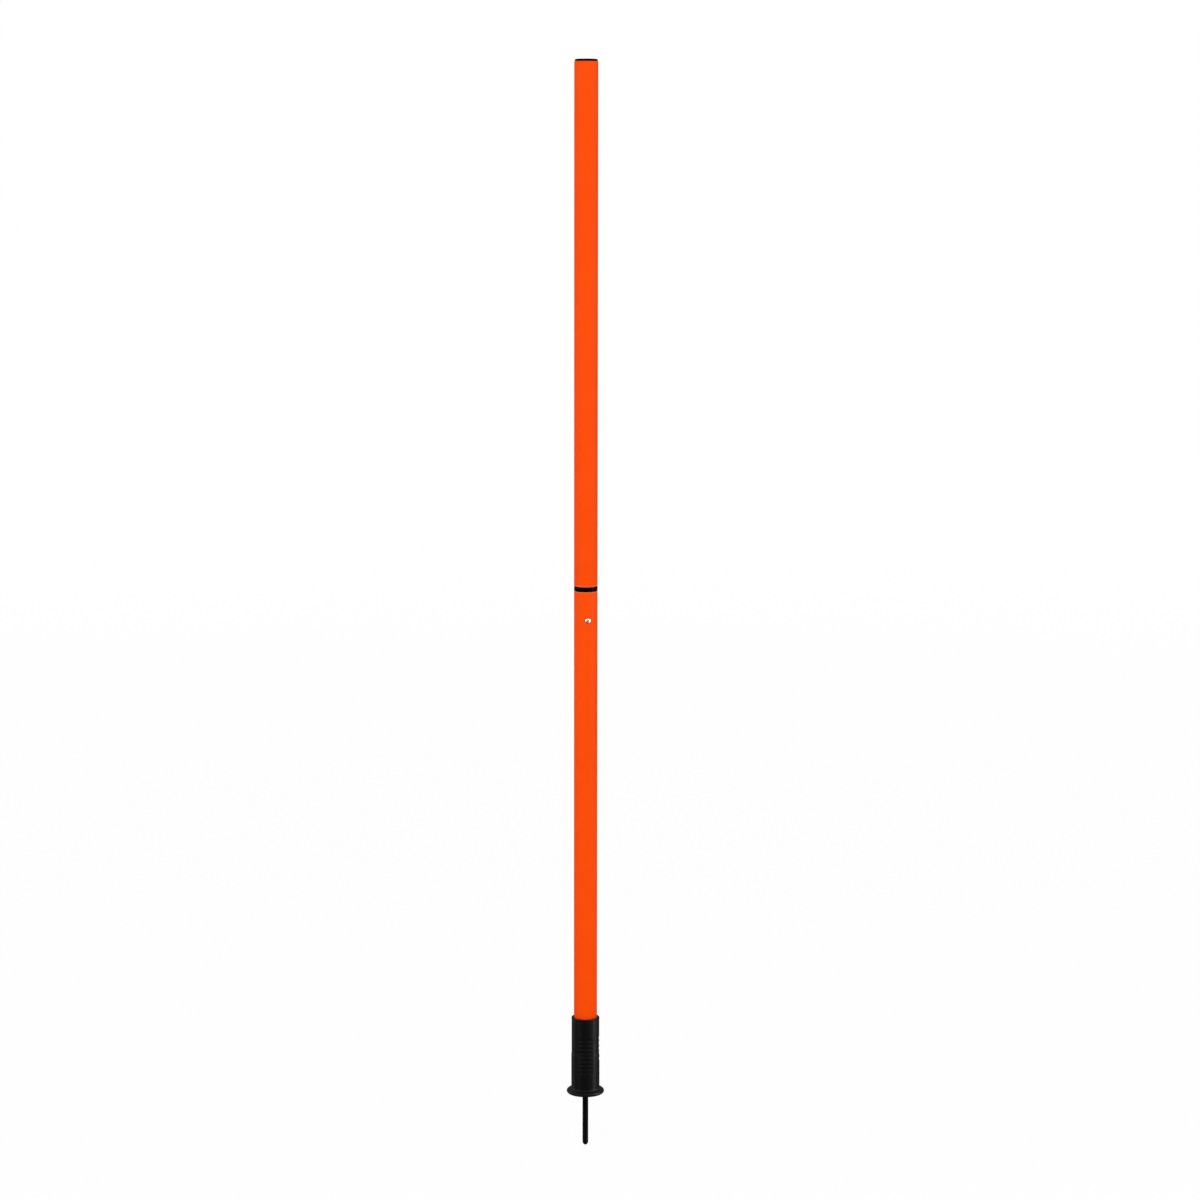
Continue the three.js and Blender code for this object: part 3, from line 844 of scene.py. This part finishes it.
class SLALOM_OT_cap(bpy.types.Operator):
    """Build the black cap with its crowned head and barbed skirt"""

    bl_idname = "slalom.build_cap"
    bl_label = "Top cap"

    def execute(self, context):
        settings = context.scene.slalom_pole
        tubes = settings.tubes
        bottom, top = node_span("top_cap")
        head_radius = node_radius("top_cap")
        underside = top - tubes.cap_head
        barb_radius = TUBE_RADIUS - tubes.wall - HOLE_GAP
        skirt_radius = barb_radius - tubes.barb_rise
        inside = skirt_radius - tubes.cap_wall
        profile = [(0, underside), (inside, underside), (inside, bottom), (skirt_radius, bottom)]
        for barb in range(tubes.barb_count):
            barb_top = bottom + tubes.barb_pitch * (barb + 1)
            profile.append((skirt_radius, barb_top - tubes.barb_height))
            profile.append((barb_radius, barb_top))
            profile.append((skirt_radius, barb_top))
        profile.append((skirt_radius, underside))
        profile.append((head_radius, underside))
        edge_top = top - tubes.cap_crown
        corner = (head_radius - tubes.cap_round, edge_top - tubes.cap_round)
        profile += arc(corner, tubes.cap_round, 0, 90, CAP_EDGE_STEPS)
        for share in CROWN_SHARES:
            rise = tubes.cap_crown * (1 - share**2)
            profile.append((corner[0] * share, edge_top + rise))
        piece = turned_piece("top_cap_moulding", profile, tubes.sides)
        plastic = shared_material("moulded_black", make_black_plastic, settings.finish)
        dress(piece, plastic, "pole", ["top_cap"])
        return {"FINISHED"}


class SLALOM_OT_coupler(bpy.types.Operator):
    """Build the coupler: its flush collar and the two spigots inside the tubes"""

    bl_idname = "slalom.build_coupler"
    bl_label = "Joint coupler"

    def execute(self, context):
        settings = context.scene.slalom_pole
        tubes = settings.tubes
        bottom, top = node_span("joint_coupler")
        plug_radius = TUBE_RADIUS - tubes.wall - HOLE_GAP
        bore_radius = plug_radius - tubes.spigot_wall
        collar_bottom = LOWER_TUBE_TOP + HOLE_GAP
        collar_top = collar_bottom + tubes.collar_height
        edge = tubes.collar_round
        rim = TUBE_RADIUS - edge
        profile = [
            (bore_radius, bottom),
            (plug_radius - tubes.spigot_lead, bottom),
            (plug_radius, bottom + tubes.spigot_lead),
            (plug_radius, collar_bottom),
            *arc((rim, collar_bottom + edge), edge, -90, 0, COLLAR_EDGE_STEPS),
            *arc((rim, collar_top - edge), edge, 0, 90, COLLAR_EDGE_STEPS),
            (plug_radius, collar_top),
        ]
        for groove in range(tubes.groove_count):
            middle = collar_top + tubes.groove_pitch * (groove + 1)
            half = tubes.groove_width / 2
            depth = tubes.groove_depth
            profile.append((plug_radius, middle - half))
            profile.append((plug_radius - depth, middle - half + depth))
            profile.append((plug_radius - depth, middle + half - depth))
            profile.append((plug_radius, middle + half))
        profile.append((plug_radius, top - tubes.spigot_lead))
        profile.append((plug_radius - tubes.spigot_lead, top))
        profile.append((bore_radius, top))
        piece = turned_piece("joint_coupler_moulding", profile, tubes.sides)
        cut_out(piece, [button_hole(settings)])
        plastic = shared_material("moulded_black", make_black_plastic, settings.finish)
        dress(piece, plastic, "pole", ["joint_coupler"])
        return {"FINISHED"}


def strip_faces(settings):
    """How far the strip spring's outer and inner face lie from the axis."""
    button = settings.button
    tubes = settings.tubes
    bore_radius = TUBE_RADIUS - tubes.wall - HOLE_GAP - tubes.spigot_wall
    outer = math.sqrt((bore_radius - HOLE_GAP) ** 2 - (button.strip_width / 2) ** 2)
    return outer, outer - button.strip_thickness


class SLALOM_OT_snap_button(bpy.types.Operator):
    """Build the domed snap button with its rivet"""

    bl_idname = "slalom.build_snap_button"
    bl_label = "Snap button"

    def execute(self, context):
        settings = context.scene.slalom_pole
        button = settings.button
        outer, inner = strip_faces(settings)
        head_top = inner - HOLE_GAP
        head_bottom = head_top - button.rivet_head_height
        dome_base = TUBE_RADIUS + button.straight
        rise = button.stand - button.straight
        dome = arc((0, dome_base), button.radius, 0, 90, DOME_STEPS, rise)
        profile = [
            (0, head_bottom),
            (button.rivet_head_radius, head_bottom),
            (button.rivet_head_radius, head_top),
            (button.rivet_radius, head_top),
            (button.rivet_radius, outer + HOLE_GAP),
            (button.radius, outer + HOLE_GAP),
            *dome[:-1],
            (0, TUBE_RADIUS + button.stand),
        ]
        bm = aim_out(turned(profile, button.sides), button.height, button.turn)
        piece = add_piece("snap_button_pin", bm)
        steel = shared_material("polished_steel", make_polished_steel, settings.finish)
        dress(piece, steel, "button", ["snap_button"])
        return {"FINISHED"}


def bent_strip(line, thickness, width):
    """A flat strip along a bent line of (out, up) places, as a mesh in the making."""
    bm = bmesh.new()
    sections = []
    for place, (out, up) in enumerate(line):
        before = Vector(line[max(place - 1, 0)])
        after = Vector(line[min(place + 1, len(line) - 1)])
        along = (after - before).normalized()
        side = Vector((along.y, -along.x)) * thickness / 2
        corners = [(1, 1), (1, -1), (-1, -1), (-1, 1)]
        points = [(Vector((out, up)) + side * face, width / 2 * edge) for face, edge in corners]
        sections.append([bm.verts.new((across, -p.x, p.y)) for p, across in points])
    loft(bm, sections)
    bmesh.ops.recalc_face_normals(bm, faces=bm.faces)
    return bm


class SLALOM_OT_button_spring(bpy.types.Operator):
    """Build the bent strip spring that carries the snap button"""

    bl_idname = "slalom.build_button_spring"
    bl_label = "Button spring"

    def execute(self, context):
        settings = context.scene.slalom_pole
        button = settings.button
        outer, inner = strip_faces(settings)
        face = (outer + inner) / 2
        tail = button.height - button.strip_tail
        knee = tail + button.strip_leg
        bend = knee + button.strip_slope
        leg_places = [tail + button.strip_leg * step / LEG_STEPS for step in range(LEG_STEPS + 1)]
        line = [(face, up) for up in leg_places]
        line += arc((0, bend), button.strip_bend, 0, 180, STRIP_BEND_STEPS)
        line += [(-face, up) for up in reversed(leg_places)]
        bm = bent_strip(line, button.strip_thickness, button.strip_width)
        bmesh.ops.transform(bm, matrix=Matrix.Rotation(button.turn, 4, "Z"), verts=bm.verts)
        piece = add_piece("button_spring_strip", bm)
        hole_radius = button.rivet_radius + HOLE_GAP
        hole = drill(hole_radius, TUBE_RADIUS, button.height, button.turn, RIVET_HOLE_SIDES)
        cut_out(piece, [hole])
        steel = shared_material("drawn_steel", make_spring_steel, settings.finish)
        dress(piece, steel, replaced=["button_spring"])
        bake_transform(piece)
        return {"FINISHED"}


def wound_wire(settings, first, last):
    """A stretch of the base spring's wire, between two shares of its whole length."""
    spring = settings.spring
    wire_radius = spring.wire / 2
    radius = node_radius("coil_spring") - wire_radius
    rise = SPRING_TOP - SPRING_BOTTOM - spring.wire
    turns = rise / (spring.wire + spring.coil_gap)
    steps = round(turns * (last - first) * spring.steps)
    slope = math.atan2(rise, FULL_TURN * radius * turns)
    bm = bmesh.new()
    sections = []
    for step in range(steps + 1):
        share = first + (last - first) * step / steps
        angle = FULL_TURN * turns * share
        out = Vector((math.cos(angle), math.sin(angle), 0))
        forward = Vector((-math.sin(angle), math.cos(angle), 0))
        up = Vector((0, 0, 1)) * math.cos(slope) - forward * math.sin(slope)
        height = SPRING_BOTTOM + wire_radius + rise * share
        middle = out * radius + Vector((0, 0, height))
        section = []
        for side in range(spring.wire_sides):
            turn = FULL_TURN * side / spring.wire_sides
            rim = out * math.cos(turn) + up * math.sin(turn)
            section.append(bm.verts.new(middle + rim * wire_radius))
        sections.append(section)
    loft(bm, sections)
    bmesh.ops.recalc_face_normals(bm, faces=bm.faces)
    return bm


class SLALOM_OT_coil_spring(bpy.types.Operator):
    """Build the base spring in two stretches, split at the spring's middle"""

    bl_idname = "slalom.build_coil_spring"
    bl_label = "Coil spring"

    def execute(self, context):
        settings = context.scene.slalom_pole
        wire_radius = settings.spring.wire / 2
        low, high = SPRING_BOTTOM + wire_radius, SPRING_TOP - wire_radius
        middle_share = (SPRING_MIDDLE - low) / (high - low)
        steel = shared_material("drawn_steel", make_spring_steel, settings.finish)
        stretches = {
            "coil_spring_lower": (0, middle_share, "base", "spring"),
            "coil_spring_upper": (middle_share, 1, "spring", "pole"),
        }
        for name, (first, last, below, above) in stretches.items():
            piece = add_piece(name, wound_wire(settings, first, last))
            dress(piece, steel, replaced=["coil_spring"])
            bend_piece(piece)
        return {"FINISHED"}


def bend_piece(piece):
    """Bakes a piece's placement into its mesh."""
    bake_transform(piece)


def rib_depth(boot, turn, height):
    """How deep the grip grooves are at a place on the sleeve."""
    below = boot.groove_top - height
    front = boot.panel_turn
    panels = [
        (front, boot.fine_pitch, boot.fine_count),
        (front + math.pi, boot.fine_pitch, boot.fine_count),
        (front + math.pi / 2, boot.coarse_pitch, boot.coarse_count),
    ]
    deepest = 0.0
    for panel_turn, pitch, count in panels:
        if 0 < below < pitch * count:
            away = abs((turn - panel_turn + math.pi) % FULL_TURN - math.pi)
            run_out = (boot.panel_span / 2 - away) / boot.panel_fade
            wave = (1 - math.cos(FULL_TURN * below / pitch)) / 2
            deepest = max(deepest, wave * min(max(run_out, 0.0), 1.0))
    return boot.groove_depth * deepest


def sleeve_points(boot, bottom, top):
    """The outer wall of the sleeve between two heights, row by row, with its small step."""
    rows = max(1, round((top - bottom) / boot.row))
    points = []
    for row in range(rows + 1):
        height = bottom + (top - bottom) * row / rows
        past = (height - boot.step_height) / boot.step_run + 0.5
        share = min(max(past, 0.0), 1.0)
        share = share * share * (3 - 2 * share)
        radius = boot.lower_radius + (boot.upper_radius - boot.lower_radius) * share
        points.append((radius, height))
    return points


def bore_points(radius, start, end, rows):
    """The bore's wall from one height to another, row by row."""
    return [(radius, start + (end - start) * row / rows) for row in range(rows + 1)]


def lower_boot_profile(boot, spike, bore_radius):
    """The boot from the middle of the spring down its bore, round its flange and up again."""
    flange_radius = node_radius("rubber_boot")
    edge = boot.flange_height / 2
    hole_radius = spike.radius + HOLE_GAP
    recess_radius = spike.shoulder_radius + HOLE_GAP
    recess_top = spike.shoulder_height + HOLE_GAP
    fillet_foot = boot.flange_height + boot.flange_crown
    fillet_middle = (boot.lower_radius + boot.flange_fillet, fillet_foot + boot.flange_fillet)
    return [
        *bore_points(bore_radius, SPRING_MIDDLE, boot.floor, LOWER_BORE_ROWS),
        (hole_radius, boot.floor),
        (hole_radius, recess_top),
        (recess_radius, recess_top),
        (recess_radius, 0),
        *arc((flange_radius - edge, edge), edge, -90, 90, FLANGE_STEPS),
        *arc(fillet_middle, boot.flange_fillet, 270, 180, FILLET_STEPS),
        *sleeve_points(boot, fillet_middle[1] + boot.row, SPRING_MIDDLE),
    ]


def upper_boot_profile(boot, bore_radius):
    """The boot from the middle of the spring up to its mouth and down its bore."""
    top = node_span("rubber_boot")[1]
    bead_bottom = top - boot.bead_height
    groove_radius = boot.upper_radius - boot.bead_groove
    groove_bottom = bead_bottom - boot.bead_groove
    corner = (boot.bead_radius - boot.mouth_round, top - boot.mouth_round)
    return [
        *sleeve_points(boot, SPRING_MIDDLE, groove_bottom - boot.mouth_round),
        (groove_radius, groove_bottom),
        (groove_radius, bead_bottom - boot.bead_groove / 2),
        (boot.bead_radius, bead_bottom),
        *arc(corner, boot.mouth_round, 0, 90, MOUTH_STEPS),
        (bore_radius + boot.mouth_flare, top),
        *bore_points(bore_radius, top - boot.flare_height, SPRING_MIDDLE, UPPER_BORE_ROWS),
    ]


def press_ribs(bm, boot):
    """Presses the grip grooves into a turned boot."""
    lowest = boot.upper_radius - boot.groove_depth
    for vertex in bm.verts:
        x, y, height = vertex.co
        radius = math.hypot(x, y)
        if radius > lowest:
            depth = rib_depth(boot, math.atan2(x, -y), height)
            vertex.co.x *= 1 - depth / radius
            vertex.co.y *= 1 - depth / radius


class SLALOM_OT_boot(bpy.types.Operator):
    """Build the rubber boot in two stretches, split at the spring's middle"""

    bl_idname = "slalom.build_boot"
    bl_label = "Rubber boot"

    def execute(self, context):
        settings = context.scene.slalom_pole
        boot = settings.boot
        bore_radius = TUBE_RADIUS + HOLE_GAP
        rubber = shared_material("boot_rubber", make_black_rubber, settings.finish)
        lower = lower_boot_profile(boot, settings.spike, bore_radius)
        upper = upper_boot_profile(boot, bore_radius)
        stretches = {
            "rubber_boot_lower": (lower, "base", "spring"),
            "rubber_boot_upper": (upper, "spring", "pole"),
        }
        for name, (profile, below, above) in stretches.items():
            bm = turned(profile, boot.sides, is_open=True)
            press_ribs(bm, boot)
            piece = add_piece(name, bm)
            dress(piece, rubber, replaced=["rubber_boot"])
            bend_piece(piece)
        return {"FINISHED"}


class SLALOM_OT_spike(bpy.types.Operator):
    """Build the ground spike with its rounded point and shoulder"""

    bl_idname = "slalom.build_spike"
    bl_label = "Ground spike"

    def execute(self, context):
        settings = context.scene.slalom_pole
        spike = settings.spike
        bottom, top = node_span("ground_spike")
        shoulder = (spike.shoulder_radius - spike.edge, spike.shoulder_height - spike.edge)
        middle = (0, bottom + spike.point)
        point = arc(middle, spike.radius, -90, 0, POINT_STEPS, spike.point)
        profile = [
            (0, bottom),
            *point[1:],
            (spike.radius, 0),
            *arc((shoulder[0], spike.edge), spike.edge, -90, 0, SHOULDER_EDGE_STEPS),
            *arc(shoulder, spike.edge, 0, 90, SHOULDER_EDGE_STEPS),
            (spike.radius, spike.shoulder_height),
            (spike.radius, top - spike.end_bevel),
            (spike.radius - spike.end_bevel, top),
            (0, top),
        ]
        piece = turned_piece("ground_spike_rod", profile, spike.sides)
        coated = shared_material("coated_steel", make_coated_steel, settings.finish)
        dress(piece, coated, "base", ["ground_spike"])
        return {"FINISHED"}


class SLALOM_OT_base_hardware(bpy.types.Operator):
    """Finish the spring seats, plate, washers, nut and screws inside the base"""

    bl_idname = "slalom.finish_base_hardware"
    bl_label = "Base hardware"

    def execute(self, context):
        finish = context.scene.slalom_pole.finish
        nylon = shared_material("seat_nylon", make_dark_nylon, finish)
        zinc = shared_material("zinc_plate", make_plated_steel, finish)
        steel = shared_material("drawn_steel", make_spring_steel, finish)
        for node in ("upper_spring_seat", "lower_spring_seat"):
            repaint(node, nylon)
        for node in ("base_plate", "flat_washer", "spike_nut", "seat_screw_1", "seat_screw_2"):
            repaint(node, zinc)
        repaint("lock_washer", steel)
        return {"FINISHED"}


# Stage

SENSOR_WIDTH = 36.0
WHITE = (1.0, 1.0, 1.0, 1.0)
FLOOR_COLOUR = (0.9, 0.9, 0.9, 1.0)
FLOOR_ROUGHNESS = 0.9
FLOOR_SIDES = 120
FLOOR_PLAIN_SHARES = (0.1, 0.5)
MIRROR_COLOUR = (0.22, 0.22, 0.22, 1.0)
MIRROR_ROUGHNESS = 0.12

# Where reflections change from the unlit room to something brighter: on the floor behind the pole,
# and by direction towards the backdrop, the ceiling and the high screen in front
BACKDROP_ON_FLOOR = (0.4, 1.6)
BACKDROP_TURN = (0.2, 0.7)
CEILING_TURN = (0.4, 0.7)
SCREEN_TURN = (0.6, 0.85)
SCREEN_DIRECTION = Vector((0, -0.8, 0.6))

# Each lamp: its place, the point it faces, its size, and whether it shows in reflections alone.
# The others light the pole and show in no reflection
POLE_MIDDLE = (0, 0, 0.6)
STRIP_LEVEL = (0, 0, 1.1)
STRIP_SIZE = (0.45, 2.2)
LAMPS = {
    "right_strip": ((2.4, -0.45, 1.1), STRIP_LEVEL, STRIP_SIZE, True),
    "left_strip": ((-2.2, 1.0, 1.1), STRIP_LEVEL, STRIP_SIZE, True),
    "left_screen": ((-2.1, -1.5, 1.1), STRIP_LEVEL, (0.8, 2.2), True),
    "front_light": ((0, -2.6, 2.2), POLE_MIDDLE, (2.2, 1.8), False),
}


def add_camera(stage):
    """The camera at the photograph's place."""
    data = bpy.data.cameras.new("camera")
    data.lens = stage.lens
    data.sensor_width = SENSOR_WIDTH
    camera = bpy.data.objects.new("camera", data)
    aim = Matrix.Rotation(math.pi / 2 - stage.tilt, 4, "X") @ Matrix.Rotation(stage.roll, 4, "Z")
    place = Matrix.Translation((stage.side, -stage.distance, stage.height))
    camera.matrix_world = place @ aim
    bpy.context.scene.collection.objects.link(camera)
    bpy.context.scene.camera = camera


def add_lamp(name, power):
    """A flat lamp that faces a point. It either lights the pole or shows in reflections."""
    place, aim, size, in_gloss = LAMPS[name]
    data = bpy.data.lights.new(name, "AREA")
    data.shape = "RECTANGLE"
    data.size, data.size_y = size
    data.energy = power
    lamp = bpy.data.objects.new(name, data)
    lamp.location = place
    towards = Vector(aim) - Vector(place)
    lamp.rotation_euler = towards.to_track_quat("-Z", "Y").to_euler()
    lamp.visible_diffuse = not in_gloss
    lamp.visible_glossy = in_gloss
    bpy.context.scene.collection.objects.link(lamp)


def ray_kinds(tree):
    """Whether a ray shows the background straight on or through glass, and whether off gloss."""
    path = put(tree, "ShaderNodeLightPath")
    seen, through = path.outputs["Is Camera Ray"], path.outputs["Is Transmission Ray"]
    return calculate(tree, "MAXIMUM", seen, through), path.outputs["Is Glossy Ray"]


def smooth_step(tree, value, limits, low, high):
    """A value that goes smoothly from low to high between two limits."""
    return remap(tree, value, limits, low, high, interpolation="SMOOTHSTEP")


def mix_shaders(tree, share, first, second):
    """The output of a mix of two shaders."""
    node = put(tree, "ShaderNodeMixShader", {0: share})
    tree.links.new(first, node.inputs[1])
    tree.links.new(second, node.inputs[2])
    return node.outputs[0]


def make_floor_material(stage):
    """Pale floor. To the eye it is mostly plain white and keeps a faint shadow. In reflections it
    is gray behind the pole, as dim as the unlit room in front of it, and a little glossy."""
    material, tree, shader = new_material("pale_floor", {"Roughness": FLOOR_ROUGHNESS})
    shader.inputs["Base Color"].default_value = FLOOR_COLOUR
    output = next(node for node in tree.nodes if node.type == "OUTPUT_MATERIAL")
    place = put(tree, "ShaderNodeTexCoord").outputs["Object"]
    straight, glossy = ray_kinds(tree)
    far = put(tree, "ShaderNodeVectorMath", {0: place}, operation="LENGTH").outputs["Value"]
    plain_limits = [stage.floor_radius * share for share in FLOOR_PLAIN_SHARES]
    glow = smooth_step(tree, far, plain_limits, stage.floor_glow, 1.0)
    share = calculate(tree, "MULTIPLY", straight, glow)
    white = put(tree, "ShaderNodeEmission", {"Color": WHITE, "Strength": 1.0})
    seen = mix_shaders(tree, share, shader.outputs[0], white.outputs[0])
    depth = put(tree, "ShaderNodeSeparateXYZ", {"Vector": place}).outputs["Y"]
    behind = smooth_step(tree, depth, BACKDROP_ON_FLOOR, stage.room, stage.backdrop)
    glow_behind = put(tree, "ShaderNodeEmission", {"Color": WHITE, "Strength": behind})
    mirror = put(
        tree, "ShaderNodeBsdfAnisotropic", {"Color": MIRROR_COLOUR, "Roughness": MIRROR_ROUGHNESS}
    )
    reflected = put(tree, "ShaderNodeAddShader")
    tree.links.new(glow_behind.outputs[0], reflected.inputs[0])
    tree.links.new(mirror.outputs[0], reflected.inputs[1])
    lit = mix_shaders(tree, glossy, seen, reflected.outputs[0])
    clear = put(tree, "ShaderNodeBsdfTransparent")
    geometry = put(tree, "ShaderNodeNewGeometry")
    sided = mix_shaders(tree, geometry.outputs["Backfacing"], lit, clear.outputs[0])
    tree.links.new(sided, output.inputs["Surface"])
    return material


def add_floor(stage):
    """A wide round floor just under the spike's tip."""
    bm = bmesh.new()
    height = node_span("ground_spike")[0] - stage.floor_drop
    last_turn = 360 - 360 / FLOOR_SIDES
    rim = arc((0, 0), stage.floor_radius, 0, last_turn, FLOOR_SIDES - 1)
    bm.faces.new([bm.verts.new((*place, height)) for place in rim])
    floor = add_piece("floor", bm)
    floor.data.materials.append(make_floor_material(stage))


def light_world(stage):
    """A white background and a soft fill. In reflections the ceiling and a high screen in front are
    white, the background is gray and the rest of the room is dim."""
    world = bpy.data.worlds.new("studio")
    bpy.context.scene.world = world
    world.use_nodes = True
    tree = world.node_tree
    tree.nodes.clear()
    place = put(tree, "ShaderNodeTexCoord").outputs["Generated"]
    direction = put(tree, "ShaderNodeSeparateXYZ", {"Vector": place})
    backward, upward = direction.outputs["Y"], direction.outputs["Z"]
    backdrop = smooth_step(tree, backward, BACKDROP_TURN, stage.room, stage.backdrop)
    ceiling = smooth_step(tree, upward, CEILING_TURN, stage.room, 1.0)
    towards = {0: place, 1: SCREEN_DIRECTION}
    facing = put(tree, "ShaderNodeVectorMath", towards, operation="DOT_PRODUCT").outputs["Value"]
    screen = smooth_step(tree, facing, SCREEN_TURN, stage.room, 1.0)
    bright = calculate(tree, "MAXIMUM", calculate(tree, "MAXIMUM", backdrop, screen), ceiling)
    strengths = {"fill": stage.fill, "room": bright, "plain": 1.0}
    lights = {
        name: put(tree, "ShaderNodeBackground", {"Color": WHITE, "Strength": strength}).outputs[0]
        for name, strength in strengths.items()
    }
    straight, glossy = ray_kinds(tree)
    lit = mix_shaders(tree, glossy, lights["fill"], lights["room"])
    shown = mix_shaders(tree, straight, lit, lights["plain"])
    output = put(tree, "ShaderNodeOutputWorld")
    tree.links.new(shown, output.inputs["Surface"])


class SLALOM_OT_stage(bpy.types.Operator):
    """Set up the camera, the pale floor and the soft light"""

    bl_idname = "slalom.build_stage"
    bl_label = "Stage"

    def execute(self, context):
        stage = context.scene.slalom_pole.stage
        context.scene.view_settings.view_transform = "Standard"
        add_camera(stage)
        add_floor(stage)
        light_world(stage)
        for name in LAMPS:
            add_lamp(name, getattr(stage, name))
        return {"FINISHED"}


OPERATORS = (
    SLALOM_OT_stage,
    SLALOM_OT_tubes,
    SLALOM_OT_cap,
    SLALOM_OT_coupler,
    SLALOM_OT_snap_button,
    SLALOM_OT_button_spring,
    SLALOM_OT_coil_spring,
    SLALOM_OT_boot,
    SLALOM_OT_spike,
    SLALOM_OT_base_hardware,
)


class SLALOM_PT_pole(bpy.types.Panel):
    """The slalom pole's pieces, sizes and colours"""

    bl_label = "Slalom Pole"
    bl_idname = "SLALOM_PT_pole"
    bl_space_type = "VIEW_3D"
    bl_region_type = "UI"
    bl_category = "Slalom Pole"

    def draw(self, context):
        settings = context.scene.slalom_pole
        for operator in OPERATORS:
            self.layout.operator(operator.bl_idname)
        for part in ("tubes", "button", "spring", "boot", "spike", "finish", "stage"):
            group = getattr(settings, part)
            box = self.layout.box()
            box.label(text=part.capitalize())
            for row in group.bl_rna.properties:
                if row.identifier not in ("rna_type", "name"):
                    box.prop(group, row.identifier)


CLASSES = (
    TubeSettings,
    ButtonSettings,
    SpringSettings,
    BootSettings,
    SpikeSettings,
    FinishSettings,
    StageSettings,
    PoleSettings,
    *OPERATORS,
    SLALOM_PT_pole,
)


def register():
    for made in CLASSES:
        bpy.utils.register_class(made)
    bpy.types.Scene.slalom_pole = PointerProperty(type=PoleSettings)


def unregister():
    del bpy.types.Scene.slalom_pole
    for made in reversed(CLASSES):
        bpy.utils.unregister_class(made)


def main():
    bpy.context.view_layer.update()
    register()
    bpy.ops.slalom.build_stage()
    bpy.ops.slalom.build_tubes()
    bpy.ops.slalom.build_cap()
    bpy.ops.slalom.build_coupler()
    bpy.ops.slalom.build_snap_button()
    bpy.ops.slalom.build_button_spring()
    bpy.ops.slalom.build_coil_spring()
    bpy.ops.slalom.build_boot()
    bpy.ops.slalom.build_spike()
    bpy.ops.slalom.finish_base_hardware()


if __name__ == "__main__":
    main()
